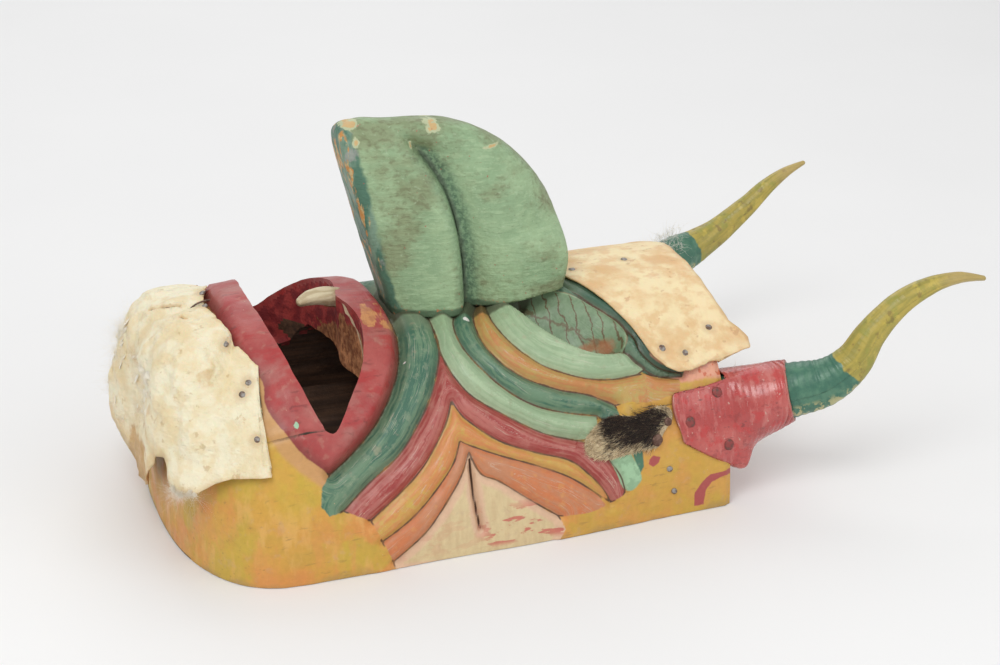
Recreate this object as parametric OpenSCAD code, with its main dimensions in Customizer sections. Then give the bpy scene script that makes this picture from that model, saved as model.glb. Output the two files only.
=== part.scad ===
// A carved, hollowed wooden dance mask lying on its back: +X runs from chin to forehead, +Z out of the face.
// The origin is on the flat back rim, in the middle of the chin's wall.

/* [Mask block] */
// Length from the origin to the flat forehead end
end_x = 472; // [450:1:490]
// How far the chin stands in front of the origin
chin_front = 6; // [4:1:8]
// Length over which the chin rounds in plan
chin_round = 94; // [80:1:110]
// Half width of the back rim
rim_half = 167; // [160:1:172]
// Half width at the forehead end
end_half = 158; // [152:1:162]
// Height of the chin over the rim
chin_h = 184; // [178:1:190]
// Height of the middle of the face
face_h = 172; // [168:1:176]
// Thickness of the hollowed wall
wall = 26; // [20:1:30]
// Thickness of the forehead's end wall
end_wall = 32; // [28:1:38]

/* [Mouth and eyes] */
// Where the lower lip's inner edge is on the centre line
mouth_front = 84; // [80:1:90]
// Where the upper lip's inner edge is on the centre line
mouth_back = 162; // [156:1:166]
// Half width of the mouth, corner to centre
mouth_half = 133; // [120:1:134]
// Height of the underside of the thick wood round the mouth
lip_under = 118; // [114:1:124]
// Length of an eye socket
eye_len = 132; // [110:1:136]
// Width of an eye socket
eye_w = 50; // [40:1:54]
// Depth of an eye socket
eye_depth = 19; // [12:1:20]

/* [Nose] */
// Height of the nose's top over the back rim
nose_top = 338; // [320:1:345]
// Half thickness of the nose at its tip
nose_tip_half = 27; // [24:1:34]
// Half thickness of the nose over the wings
nose_wing_half = 43; // [36:1:48]
// Depth of the crease behind each nostril
crease_depth = 12; // [6:1:14]
// Radius of a dowel under the nose
peg_r = 8; // [6:0.5:10]

/* [Horns] */
// Radius of a horn at its cut end
horn_r = 27; // [24:0.5:28]
// Wall of the hollow horn
horn_wall = 7; // [5:0.5:9]
// Radius of the wooden plug in the horn
plug_r = 11; // [9:0.5:12]
// Thickness of the leather sleeve
cuff_t = 3; // [2:0.5:3.5]

/* [Rawhide] */
// Thickness of the forehead rawhide with its fur
hide_t = 5; // [3:0.5:6]
// Thickness of the beard with its fur, at the chin's front
beard_t = 24; // [12:1:28]
// Thickness of a temple's fur patch
patch_t = 8; // [5:0.5:9]
// Radius of a tack's head
tack_r = 4; // [3:0.25:4.5]

/* [Hidden] */
clear = 0.2;
near = 1;
far = -1;

// The block's plan is a superellipse at the chin; its sections are superelliptic arches
plan_n = 2.5;
arch_y = 2.4;
arch_z = 2.2;
chin_x = chin_round - chin_front;
section_sides = 24;
chin_rings = 8;
trunk_rings = 11;

// A horn's axis from the forehead's end: the part in the sleeve is the same on both sides, but no two
// horns grow alike, so each has its own stretch to the tip. y counts outwards. Then its radius at each point
horn_root = [[474, 120, 77], [500, 132, 86], [530, 147, 97], [558, 160, 107]];
near_tail = [[578, 168, 126], [594, 170, 152], [620, 171, 177], [649, 171, 189], [678, 170, 192],
    [704, 168, 187]];
far_tail = [[584, 168, 113], [611, 171, 125], [640, 171, 146], [664, 171, 166], [684, 170, 179],
    [702, 168, 187]];
horn_radii = [1, 0.94, 0.86, 0.72, 0.58, 0.46, 0.37, 0.28, 0.18, 0.08];
horn_sides = 16;
hollow_rings = 3;
plug_start = [456, 112, 71];
plug_end = [512, 138, 90];

// The tooth's peg, from inside the tooth to its end in the upper lip
tooth_peg_from = [156, 17, 170];
tooth_peg_to = [190, 17, 162];
tooth_peg_r = 4;

// The two dowels under the nose
nose_peg_x = [228, 318];

// The nose's side outline, from the foot at the lip up over the tip and down behind
nose_outline = [[204, 150], [199, 176], [184, 222], [170, 272], [163, 318], [169, 334], [190, nose_top],
    [232, nose_top - 1], [270, nose_top - 3], [301, 322], [328, 300], [350, 272], [365, 240], [371, 208],
    [367, 176], [356, 150]];
crease_path = [[226, 318], [244, 296], [256, 262], [261, 225], [261, 190], [257, 160]];

// The hides lie this far off the block
skin_gap = 1;
beard_end = 66;
hide_start = 380;
hide_end = 498;
hide_half = 120;
patch_front = 336;
patch_back = 416;
patch_low = 66;
patch_high = 98;

// The sleeve round a horn: its flap on the block's side, its seam at the block's end, and the point
// of the horn's axis where it stops
cuff_front = 420;
cuff_seam = 473.5;
cuff_low = 50;
cuff_high = 110;
cuff_rings = 8;
cuff_sides = 24;
cuff_reach = 4;

beard_tack_at = [[54, 20], [58, 66], [68, 98], [64, 112], [60, 140], [54, -20], [58, -66], [68, -98],
    [60, -140]];
forehead_tack_at = [[384, 20], [434, 10], [468, -30], [430, 112], [446, 114], [482, 104], [430, -100],
    [466, -96]];

function ease(a, b, x) = let (t = max(0, min(1, (x - a) / (b - a)))) t * t * (3 - 2 * t);
function half_w(x) = rim_half + (end_half - rim_half) * ease(280, end_x, x);
function height(x) = chin_h + (face_h - chin_h) * ease(60, 190, x) + 2 * ease(300, 420, x);
function back_from_chin(x, grow) = max(0, chin_x - x) / (chin_round + grow);
function section_half(x, grow) =
    (half_w(x) + grow) * pow(max(0, 1 - pow(back_from_chin(x, grow), plan_n)), 1 / plan_n);
function plan_norm(x, y, grow) =
    pow(pow(back_from_chin(x, grow), plan_n) + pow(abs(y) / (half_w(x) + grow), plan_n), 1 / plan_n);
function face_z(x, y, grow = 0) =
    (height(x) + grow) * pow(max(0, 1 - pow(plan_norm(x, y, grow), arch_y)), 1 / arch_z);
// Outward direction of the block's surface at a plan position
function face_normal(x, y) =
    let (e = 0.5,
         n = [face_z(x - e, y) - face_z(x + e, y), face_z(x, y - e) - face_z(x, y + e), 2 * e])
    n / norm(n);

function arch_ring(x, grow, foot) = [for (k = [0 : section_sides])
    let (y = -section_half(x, grow) * cos(180 * k / section_sides),
         on_rim = k == 0 || k == section_sides)
    [x, y, on_rim ? foot : face_z(x, y, grow)]];
function chin_station(s, grow) =
    chin_x - (chin_round + grow) * pow(1 - pow(s, arch_z), 1 / arch_y);
function stations(grow, end) = concat(
    [for (j = [0 : chin_rings - 1]) chin_station(0.14 + 0.86 * j / chin_rings, grow)],
    [for (j = [0 : trunk_rings]) chin_x + (end - chin_x) * j / trunk_rings]);

function ring_faces(count, sides) = [for (i = [0 : count - 2]) for (k = [0 : sides - 2])
    [i * sides + k, i * sides + k + 1, (i + 1) * sides + k + 1, (i + 1) * sides + k]];
function base_faces(count, sides) = [for (i = [0 : count - 2])
    [i * sides, (i + 1) * sides, (i + 2) * sides - 1, (i + 1) * sides - 1]];

// The arched block, grown all round by grow, up to end; its foot is at z = foot
module arched_block(grow, end, foot = 0) {
    xs = stations(grow, end);
    rings = [for (x = xs) arch_ring(x, grow, foot)];
    sides = section_sides + 1;
    last = (len(xs) - 1) * sides;
    polyhedron(
        points = [for (ring = rings) for (p = ring) p],
        faces = concat(
            [[for (k = [section_sides : -1 : 0]) k]],
            ring_faces(len(xs), sides),
            base_faces(len(xs), sides),
            [[for (k = [0 : section_sides]) last + k]]),
        convexity = 6);
}

function tube_frame(path, i) =
    let (a = path[max(0, i - 1)],
         b = path[min(len(path) - 1, i + 1)],
         t = (b - a) / norm(b - a),
         side = cross(t, [0, 0, 1]),
         u = side / norm(side))
    [u, cross(u, t)];
function tube_ring(path, radii, i, sides) =
    let (frame = tube_frame(path, i))
    [for (k = [0 : sides - 1])
        path[i] + radii[i] * (cos(360 * k / sides) * frame[0] + sin(360 * k / sides) * frame[1])];
function loop_faces(count, sides) = [for (i = [0 : count - 2]) for (k = [0 : sides - 1])
    [i * sides + k, i * sides + (k + 1) % sides, (i + 1) * sides + (k + 1) % sides, (i + 1) * sides + k]];

// A tube of changing radius along a list of points
module swept(path, radii, sides) {
    rings = [for (i = [0 : len(path) - 1]) tube_ring(path, radii, i, sides)];
    last = (len(path) - 1) * sides;
    polyhedron(
        points = [for (ring = rings) for (p = ring) p],
        faces = concat(
            [[for (k = [sides - 1 : -1 : 0]) k]],
            loop_faces(len(path), sides),
            [[for (k = [0 : sides - 1]) last + k]]),
        convexity = 6);
}

// A smooth curve through a list of points, with steps points from one to the next
function smooth(p, steps) = [for (i = [0 : (len(p) - 1) * steps])
    let (j = min(floor(i / steps), len(p) - 2),
         t = i / steps - j,
         a = p[max(j - 1, 0)], b = p[j], c = p[j + 1], d = p[min(j + 2, len(p) - 1)])
    0.5 * (2 * b + (c - a) * t + (2 * a - 5 * b + 4 * c - d) * t * t + (3 * b - a - 3 * c + d) * t * t * t)];

function on_side(p, side) = [p[0], -side * p[1], p[2]];
function horn_axis(side) =
    smooth([for (p = concat(horn_root, side == near ? near_tail : far_tail)) on_side(p, side)], 2);
function horn_sizes(grow) = smooth([for (r = horn_radii) r * horn_r + grow], 2);

// A straight round peg between two points
module peg(from, to, r) {
    way = to - from;
    translate(from)
        rotate([0, acos(way[2] / norm(way)), atan2(way[1], way[0])])
            cylinder(h = norm(way), r = r, $fn = 48);
}

// A domed tack with its head on the block's surface, grown out by lift
module tack(x, y, lift, r) {
    n = face_normal(x, y);
    head = [x, y, face_z(x, y)] + n * lift;
    translate(head)
        rotate([0, acos(n[2]), atan2(n[1], n[0])]) {
            intersection() {
                translate([0, 0, -r * 0.9])
                    sphere(r = r * 1.35, $fn = 24);
                cylinder(h = r, r = r * 2, $fn = 24);
            }
        }
}

// The mouth: two lens edges that meet at a corner on each side, cut straight down through the wall
module mouth_cut() {
    edge = [[mouth_back, 0], [mouth_back + 6, 34], [mouth_back + 4, 62], [mouth_back - 6, 92],
        [mouth_back - 26, 118], [mouth_front + 30, mouth_half], [mouth_front + 16, 108],
        [mouth_front + 6, 70], [mouth_front, 20]];
    translate([0, 0, 45])
        linear_extrude(200)
            polygon(concat(edge, [for (i = [len(edge) - 1 : -1 : 1]) [edge[i][0], -edge[i][1]]]));
}

// The wearer's hollow, shallower under the lips, where the wood is left thick
module hollow() {
    difference() {
        arched_block(-wall, end_x - end_wall, -1);
        translate([-chin_front, -rim_half, lip_under])
            cube([chin_front + mouth_back + wall, 2 * rim_half, chin_h]);
    }
}

// An almond bowl carved into the face beside the nose's bridge
module eye_cut(side) {
    centre = on_side([352, 73, face_z(352, 73) + 2], side);
    for (i = [0 : 4]) {
        hull() {
            for (j = [i, i + 1]) {
                along = (j / 2.5 - 1) * eye_len / 2;
                fat = sqrt(max(0.02, 1 - pow(j / 2.5 - 1, 2)));
                translate(on_side([centre[0] + along * 0.72, 73 + along * 0.66,
                        face_z(centre[0] + along * 0.72, 73 + along * 0.66) + 4], side))
                    scale([1, 1, (eye_depth + 4) / (eye_w / 2)])
                        sphere(r = fat * eye_w / 2, $fn = 16);
            }
        }
    }
}

// The hole for the tooth's peg, a little longer than the peg at both ends
module tooth_peg_hole() {
    spare = 0.2 * (tooth_peg_to - tooth_peg_from);
    peg(tooth_peg_from - spare, tooth_peg_to + spare, tooth_peg_r + clear);
}

module mask_body() {
    color("goldenrod")
        difference() {
            arched_block(0, end_x);
            hollow();
            mouth_cut();
            eye_cut(near);
            eye_cut(far);
            for (x = nose_peg_x) {
                translate([x, 0, 130])
                    cylinder(h = 60, r = peg_r + clear, $fn = 48);
            }
            for (side = [near, far]) {
                peg(on_side(plug_start, side), on_side(plug_end, side), plug_r + clear);
            }
            tooth_peg_hole();
        }
}

// Half thickness of the nose at a point of its side, before the edge rounds off
function nose_half(x) = nose_tip_half + (nose_wing_half - nose_tip_half) * ease(175, 275, x);

// The nose as a pillow: rings of its outline, drawn in towards the middle as they near each side
module nose_pillow() {
    outline = smooth(concat(nose_outline, [nose_outline[0]]), 2);
    count = len(outline) - 1;
    middle = [268, 236];
    levels = [-1, -0.93, -0.78, -0.55, -0.25, 0.25, 0.55, 0.78, 0.93, 1];
    function shrink(v) = pow(max(0.02, 1 - pow(abs(v), 2.6)), 1 / 2.6);
    points = [for (v = levels) for (k = [0 : count - 1])
        let (p = middle + (outline[k] - middle) * shrink(v))
        [p[0], v * nose_half(p[0]), p[1]]];
    last = (len(levels) - 1) * count;
    polyhedron(
        points = points,
        faces = concat(
            [[for (k = [count - 1 : -1 : 0]) k]],
            loop_faces(len(levels), count),
            [[for (k = [0 : count - 1]) last + k]]),
        convexity = 6);
}

module nose() {
    crease = smooth(crease_path, 2);
    color("darkseagreen")
        difference() {
            nose_pillow();
            arched_block(0, end_x);
            for (side = [near, far]) {
                for (i = [0 : len(crease) - 2]) {
                    hull() {
                        for (j = [i, i + 1]) {
                            translate([crease[j][0], -side * (nose_half(crease[j][0]) + 2), crease[j][1]])
                                scale([0.55, 1, 1])
                                    sphere(r = crease_depth, $fn = 10);
                        }
                    }
                }
            }
            for (x = nose_peg_x) {
                translate([x, 0, 130])
                    cylinder(h = 90, r = peg_r + clear, $fn = 48);
            }
        }
}

module nose_pegs() {
    color("burlywood")
        for (x = nose_peg_x) {
            translate([x, 0, 152])
                cylinder(h = 62, r = peg_r, $fn = 48);
        }
}

module upper_tooth() {
    color("cornsilk")
        difference() {
            hull() {
                translate([mouth_back, 17, 172])
                    sphere(r = 9, $fn = 16);
                translate([mouth_back + 6, 19, 173])
                    sphere(r = 10, $fn = 16);
                translate([mouth_back - 28, 15, 175])
                    sphere(r = 4, $fn = 16);
            }
            difference() {
                arched_block(0, end_x);
                mouth_cut();
            }
            tooth_peg_hole();
        }
}

module tooth_peg() {
    color("burlywood")
        peg(tooth_peg_from, tooth_peg_to, tooth_peg_r);
}

// A place on the block's surface by plan station x and arch angle a, grown out by grow
function grown_x(x, grow) = x < chin_x ? chin_x - (chin_x - x) * (chin_round + grow) / chin_round : x;
function at_angle(x, a, grow) =
    let (gx = grown_x(x, grow), y = -section_half(gx, grow) * cos(a))
    [gx, y, face_z(gx, y, grow)];
// The same by plan position
function at_plan(x, y, grow) =
    let (gx = grown_x(x, grow), gy = y * (1 + grow / half_w(x)))
    [gx, gy, face_z(gx, gy, grow)];
// The arch angle at which the section at x is z high
function angle_at(x, z) =
    let (d = pow(1 - pow(z / height(x), arch_z), 1 / arch_y),
         y = half_w(x) * pow(max(0, pow(d, plan_n) - pow(back_from_chin(x, 0), plan_n)), 1 / plan_n))
    acos(min(1, y / section_half(x, 0)));

function flat_list(rows) = [for (row = rows) for (p = row) p];

// A closed sheet between two grids of points
module shell_patch(outer, inner) {
    n = len(outer);
    m = len(outer[0]);
    back = n * m;
    rear = (n - 1) * m;
    polyhedron(
        points = concat(flat_list(outer), flat_list(inner)),
        faces = concat(
            ring_faces(n, m),
            [for (f = ring_faces(n, m)) [f[3] + back, f[2] + back, f[1] + back, f[0] + back]],
            [for (k = [0 : m - 2]) [k + 1, k, back + k, back + k + 1]],
            [for (k = [0 : m - 2]) [rear + k, rear + k + 1, back + rear + k + 1, back + rear + k]],
            [for (i = [0 : n - 2]) [i * m, (i + 1) * m, back + (i + 1) * m, back + i * m]],
            [for (i = [0 : n - 2])
                [(i + 2) * m - 1, (i + 1) * m - 1, back + (i + 1) * m - 1, back + (i + 2) * m - 1]]),
        convexity = 4);
}

function beard_grow(x) = hide_t + (beard_t - hide_t) * (1 - ease(-chin_front, beard_end, x));
function beard_low(x) = 44 + 48 * ease(-chin_front, beard_end, x);

module beard_hide() {
    xs = concat([for (s = [0.34 : 0.11 : 0.78]) chin_station(s, 0)], [12, 26, 40, 53, beard_end]);
    grid = 18;
    function row(x, grow) = [for (k = [0 : grid])
        let (low = angle_at(x, beard_low(x))) at_angle(x, low + (180 - 2 * low) * k / grid, grow)];
    color("wheat")
        shell_patch([for (x = xs) row(x, beard_grow(x))], [for (x = xs) row(x, skin_gap)]);
}

module beard_tacks() {
    color("slategray")
        for (at = beard_tack_at) {
            tack(at[0], at[1], beard_grow(at[0]) + 0.3, tack_r);
        }
}

module beard_wire() {
    foot = at_plan(46, 8, beard_grow(46) + 1);
    color("slategray")
        swept([foot, foot + [-3, 2, 4], foot + [-9, 7, 5], foot + [-16, 10, 4]], [1, 1, 1, 0.8], 8);
}

module forehead_hide() {
    rows = 8;
    grid = 16;
    function across(k) = hide_half * (2 * k / grid - 1);
    function start(y) = hide_start + 0.3 * abs(y);
    function row(i, grow) = [for (k = [0 : grid])
        let (y = across(k)) at_plan(start(y) + (hide_end - start(y)) * i / rows, y, grow)];
    color("wheat")
        shell_patch([for (i = [0 : rows]) row(i, hide_t)], [for (i = [0 : rows]) row(i, skin_gap)]);
}

module forehead_tacks() {
    color("slategray")
        for (at = forehead_tack_at) {
            tack(at[0], at[1], hide_t + 0.3, tack_r - 0.5);
        }
}

// Draws its children on the near side, or mirrored on the far side
module on(side) {
    if (side == near)
        children();
    else
        mirror([0, 1, 0])
            children();
}

// A grid of points on the near side between two heights, grown out by grow
function side_grid(x0, x1, steps, low, high, grow) = [for (i = [0 : steps])
    let (x = x0 + (x1 - x0) * i / steps, a = angle_at(x, low), b = angle_at(x, high))
    [for (k = [0 : steps]) at_angle(x, a + (b - a) * k / steps, grow)]];

module temple_fur(side) {
    color("saddlebrown")
        on(side)
            shell_patch(
                side_grid(patch_front, patch_back, 5, patch_low, patch_high, patch_t),
                side_grid(patch_front, patch_back, 5, patch_low, patch_high, skin_gap));
}

module temple_tacks(side) {
    color("slategray")
        on(side)
            for (at = [[411, -146], [401, -151]]) {
                tack(at[0], at[1], patch_t + 0.3, tack_r + 0.5);
            }
}

// The horn with its hollow: outer rings from the cut end to the tip, inner rings for the hollow
module horn(side) {
    axis = horn_axis(side);
    outer = horn_sizes(0);
    inner = horn_sizes(-horn_wall);
    hollow = hollow_rings * 2;
    color("olivedrab")
        swept_closed(
            concat([for (i = [hollow : -1 : 0]) axis[i]], axis),
            concat([for (i = [hollow : -1 : 0]) inner[i]], outer));
}

// A swept shape whose inner rings, listed first, run back along the same axis
module swept_closed(path, radii) {
    hollow = hollow_rings * 2;
    axis = [for (i = [hollow + 1 : len(path) - 1]) path[i]];
    rings = concat(
        [for (i = [hollow : -1 : 0])
            tube_ring(axis, [for (r = [0 : hollow]) radii[hollow - r]], i, horn_sides)],
        [for (i = [0 : len(axis) - 1])
            tube_ring(axis, [for (r = [0 : len(axis) - 1]) radii[hollow + 1 + r]], i, horn_sides)]);
    last = (len(rings) - 1) * horn_sides;
    polyhedron(
        points = flat_list(rings),
        faces = concat(
            [[for (k = [horn_sides - 1 : -1 : 0]) k]],
            loop_faces(len(rings), horn_sides),
            [[for (k = [0 : horn_sides - 1]) last + k]]),
        convexity = 6);
}

module horn_plug(side) {
    color("burlywood")
        peg(on_side(plug_start, side), on_side(plug_end, side), plug_r);
}

// One ring of the sleeve: an oval on the block's end drawing in to a circle round the horn
function cuff_ring(i, grow) =
    let (t = i / cuff_rings,
         start = [cuff_seam, -121, 72],
         goal = horn_axis(near)[cuff_reach],
         goal_r = horn_sizes(1)[cuff_reach] + grow,
         frame = tube_frame(horn_axis(near), cuff_reach),
         out = (1 - t) * [0, -1, 0] + t * frame[0],
         up = (1 - t) * [0, 0, 1] + t * frame[1],
         open = pow(1 - t, 1.4))
    [for (k = [0 : cuff_sides - 1])
        start + (goal - start) * t
            + (goal_r + 11 * open) * cos(360 * k / cuff_sides) * out
            + (goal_r + 13 * open) * sin(360 * k / cuff_sides) * up];

module cuff_sleeve() {
    rings = concat(
        [for (i = [0 : cuff_rings]) cuff_ring(i, cuff_t)],
        [for (i = [cuff_rings : -1 : 0]) cuff_ring(i, 0)],
        [cuff_ring(0, cuff_t)]);
    count = len(rings) - 1;
    polyhedron(
        points = flat_list([for (i = [0 : count - 1]) rings[i]]),
        faces = [for (i = [0 : count - 1]) for (k = [0 : cuff_sides - 1])
            let (next = (i + 1) % count, up = (k + 1) % cuff_sides)
            [i * cuff_sides + k, i * cuff_sides + up, next * cuff_sides + up, next * cuff_sides + k]],
        convexity = 6);
}

module cuff(side) {
    color("firebrick")
        on(side) {
            cuff_sleeve();
            shell_patch(
                side_grid(cuff_front, cuff_seam - 0.5, 6, cuff_low, cuff_high, skin_gap + cuff_t),
                side_grid(cuff_front, cuff_seam - 0.5, 6, cuff_low, cuff_high, skin_gap));
        }
}

module cuff_tacks(side) {
    color("slategray")
        on(side)
            for (at = [[462, -137], [434, -147], [466, -150]]) {
                tack(at[0], at[1], skin_gap + cuff_t + 0.3, tack_r);
            }
}

module side_nails() {
    color("slategray")
        for (at = [[412, -156.5], [416, -158.5]]) {
            tack(at[0], at[1], 0.1, 2);
        }
}

mask_body();
nose();
nose_pegs();
upper_tooth();
tooth_peg();
beard_hide();
beard_tacks();
beard_wire();
forehead_hide();
forehead_tacks();
temple_fur(near);  // temple_fur_left
temple_fur(far);  // temple_fur_right
temple_tacks(near);  // temple_tacks_left
temple_tacks(far);  // temple_tacks_right
horn(near);  // horn_left
horn(far);  // horn_right
horn_plug(near);  // horn_plug_left
horn_plug(far);  // horn_plug_right
cuff(near);  // cuff_left
cuff(far);  // cuff_right
cuff_tacks(near);  // cuff_tacks_left
cuff_tacks(far);  // cuff_tacks_right
side_nails();
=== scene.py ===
"""A horned, carved and painted wooden dance mask with nailed rawhide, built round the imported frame.

All shapes are worked out in millimetres and become metres when a mesh is made. +X runs from the chin
to the forehead, +Z out of the face, and the mask lies on its flat back rim at z = 0.
"""

import math

import bmesh
import bpy
import numpy as np
from mathutils import Matrix, Vector


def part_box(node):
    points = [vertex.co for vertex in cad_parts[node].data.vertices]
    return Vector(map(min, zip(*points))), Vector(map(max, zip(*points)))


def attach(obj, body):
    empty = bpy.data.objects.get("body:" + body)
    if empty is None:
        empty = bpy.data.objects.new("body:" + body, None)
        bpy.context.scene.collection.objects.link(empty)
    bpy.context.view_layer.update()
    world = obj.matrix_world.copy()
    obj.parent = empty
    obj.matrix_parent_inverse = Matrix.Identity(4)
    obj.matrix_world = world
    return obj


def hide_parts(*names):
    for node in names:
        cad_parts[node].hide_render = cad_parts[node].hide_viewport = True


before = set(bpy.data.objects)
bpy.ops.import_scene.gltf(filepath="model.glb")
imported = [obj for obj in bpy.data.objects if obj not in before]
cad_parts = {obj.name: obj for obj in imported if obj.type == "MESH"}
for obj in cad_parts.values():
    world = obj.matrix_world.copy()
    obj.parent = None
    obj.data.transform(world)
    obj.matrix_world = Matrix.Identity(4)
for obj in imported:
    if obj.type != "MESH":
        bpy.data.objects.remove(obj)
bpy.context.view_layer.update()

MM = 0.001
ROUGHNESS = 0.55

# ---------------------------------------------------------------- the block's shape

END_X, RIM_HALF = [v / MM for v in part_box("mask_body")[1][:2]]
END_HALF = RIM_HALF - 9
CHIN_ROUND = 94
CHIN_X = 88
CHIN_H = 184
FACE_H = 172
PLAN_N = 2.5
ARCH_Y = 2.4
ARCH_Z = 2.2
ARCH_MEAN = 2.3
WALL = 26
END_WALL = 32
LIP_UNDER = 116


def run_of(points):
    """How far along a line of points each one is."""
    return np.concatenate([[0], np.cumsum(np.linalg.norm(np.diff(points, axis=0), axis=1))])


def ease(a, b, x):
    t = np.clip((x - a) / (b - a), 0, 1)
    return t * t * (3 - 2 * t)


def half_w(x):
    return RIM_HALF + (END_HALF - RIM_HALF) * ease(280, END_X, x)


def height(x):
    return CHIN_H + (FACE_H - CHIN_H) * ease(60, 190, x) + 2 * ease(300, 420, x)


def back_from_chin(x, grow=0.0):
    return np.maximum(0, CHIN_X - x) / (CHIN_ROUND + grow)


def section_half(x, grow=0.0):
    """Half width of the section at x."""
    rest = np.maximum(0, 1 - back_from_chin(x, grow) ** PLAN_N)
    return (half_w(x) + grow) * rest ** (1 / PLAN_N)


def plan_norm(x, y, grow=0.0):
    side = np.abs(y) / (half_w(x) + grow)
    return (back_from_chin(x, grow) ** PLAN_N + side ** PLAN_N) ** (1 / PLAN_N)


def face_z(x, y, grow=0.0):
    """Height of the block's face over the rim at a plan position."""
    inside = np.maximum(0, 1 - plan_norm(x, y, grow) ** ARCH_Y)
    return (height(x) + grow) * inside ** (1 / ARCH_Z)


def level(points):
    """1 on the block's surface, less inside it."""
    x, y, z = points[..., 0], points[..., 1], points[..., 2]
    plan = plan_norm(x, y)
    return (plan ** ARCH_Y + (np.maximum(0, z) / height(x)) ** ARCH_Z) ** (1 / ARCH_MEAN)


def unrolled(points):
    """Distance round the arch from the centre line, towards the near side positive, in millimetres."""
    x, y, z = points[..., 0], points[..., 1], points[..., 2]
    turn = np.arctan2(np.maximum(0, z) / height(x), np.abs(y) / half_w(x))
    return -np.sign(y) * np.interp(turn, ARC_TURN, ARC_S)


def arc_table():
    a = np.linspace(0, np.pi / 2, 400)
    y = RIM_HALF * np.cos(a)
    z = FACE_H * np.maximum(0, 1 - (y / RIM_HALF) ** ARCH_Y) ** (1 / ARCH_Z)
    s = run_of(np.stack([y, z], 1))
    return np.arctan2(z / FACE_H, y / RIM_HALF), s[-1] - s


ARC_TURN, ARC_S = arc_table()


def chin_stations(grow, count):
    """Section places round the chin, closer together where the front wall is steep."""
    s = np.linspace(0.02, 1, count)
    return CHIN_X - (CHIN_ROUND + grow) * (1 - s ** ARCH_Z) ** (1 / ARCH_Y)


def spaced(points, count):
    """count points spaced evenly along a line of points."""
    run = run_of(points)
    at = np.linspace(0, run[-1], count)
    return np.stack([np.interp(at, run, column) for column in points.T], 1)


def even_section(x, count, grow=0.0):
    """Points of the section at x, evenly spaced from the near rim over to the far rim."""
    a = np.linspace(0, np.pi, 500)
    y = -section_half(x, grow) * np.cos(a)
    z = face_z(x, y, grow)
    z[0] = z[-1] = 0
    return np.column_stack([np.full(count, x), spaced(np.stack([y, z], 1), count)])


def even_loop(loop, count):
    """count points spaced evenly round a closed loop."""
    return spaced(np.vstack([loop, loop[:1]]), count + 1)[:-1]


# ---------------------------------------------------------------- noise and curves

def hash_lattice(ix, iy, iz, seed):
    h = (ix * 374761393 + iy * 668265263 + iz * 2147483647 + seed * 974634777) & 0xFFFFFFFF
    h = ((h ^ (h >> 13)) * 1274126177) & 0xFFFFFFFF
    return ((h ^ (h >> 16)) & 0xFFFF) / 32767.5 - 1


def noise3(points, size, seed=0, octaves=3):
    """Smooth value noise from -1 to 1 at each point; size is the largest feature in millimetres."""
    total = np.zeros(points.shape[:-1])
    gain = 1.0
    reach = 0.0
    for octave in range(octaves):
        p = points / (size / 2 ** octave) + 31.7 * octave
        base = np.floor(p).astype(np.int64)
        f = p - base
        f = f * f * (3 - 2 * f)
        value = 0
        for dx in (0, 1):
            for dy in (0, 1):
                for dz in (0, 1):
                    weight = ((f[..., 0] if dx else 1 - f[..., 0]) * (f[..., 1] if dy else 1 - f[..., 1])
                              * (f[..., 2] if dz else 1 - f[..., 2]))
                    value = value + weight * hash_lattice(
                        base[..., 0] + dx, base[..., 1] + dy, base[..., 2] + dz, seed + octave)
        total += gain * value
        reach += gain
        gain *= 0.5
    return total / reach


def smooth_curve(points, steps=6):
    """A Catmull-Rom curve through the points."""
    p = np.array(points, float)
    out = []
    for i in range(len(p) - 1):
        a, b, c, d = p[max(i - 1, 0)], p[i], p[i + 1], p[min(i + 2, len(p) - 1)]
        for t in np.arange(steps) / steps:
            out.append(0.5 * (2 * b + (c - a) * t + (2 * a - 5 * b + 4 * c - d) * t * t
                              + (3 * b - a - 3 * c + d) * t ** 3))
    out.append(p[-1])
    return np.array(out)


def curve_place(q, curve):
    """Distance of each 2-D point to an open curve, and how far along the curve it is."""
    best = np.full(q.shape[:-1], 1e9)
    along = np.zeros(q.shape[:-1])
    run = 0.0
    for a, b in zip(curve[:-1], curve[1:]):
        d = b - a
        t = np.clip(((q - a) @ d) / max(d @ d, 1e-9), 0, 1)
        gap = np.hypot(q[..., 0] - a[0] - t * d[0], q[..., 1] - a[1] - t * d[1])
        length = np.hypot(*d)
        along = np.where(gap < best, run + t * length, along)
        best = np.minimum(best, gap)
        run += length
    return best, along


def curve_distance(q, curve):
    return curve_place(q, curve)[0]


def region_distance(q, outline):
    """Signed distance to a closed outline: positive inside."""
    loop = np.vstack([outline, outline[:1]])
    odd = np.zeros(q.shape[:-1], bool)
    for a, b in zip(loop[:-1], loop[1:]):
        crosses = (a[1] > q[..., 1]) != (b[1] > q[..., 1])
        if a[1] != b[1]:
            odd ^= crosses & (q[..., 0] < (b[0] - a[0]) * (q[..., 1] - a[1]) / (b[1] - a[1]) + a[0])
    return np.where(odd, 1, -1) * curve_distance(q, loop)


# ---------------------------------------------------------------- meshes

def grid_faces(rows, cols, wrap=False):
    span = cols if wrap else cols - 1
    return [(i * cols + k, i * cols + (k + 1) % cols, (i + 1) * cols + (k + 1) % cols, (i + 1) * cols + k)
            for i in range(rows - 1) for k in range(span)]


def closed_faces(rings, count):
    """Faces of a solid made of rings of count points, closed at both ends."""
    ends = [tuple(range(count)), tuple(range((rings - 1) * count, rings * count))]
    return grid_faces(rings, count, wrap=True) + ends


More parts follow.
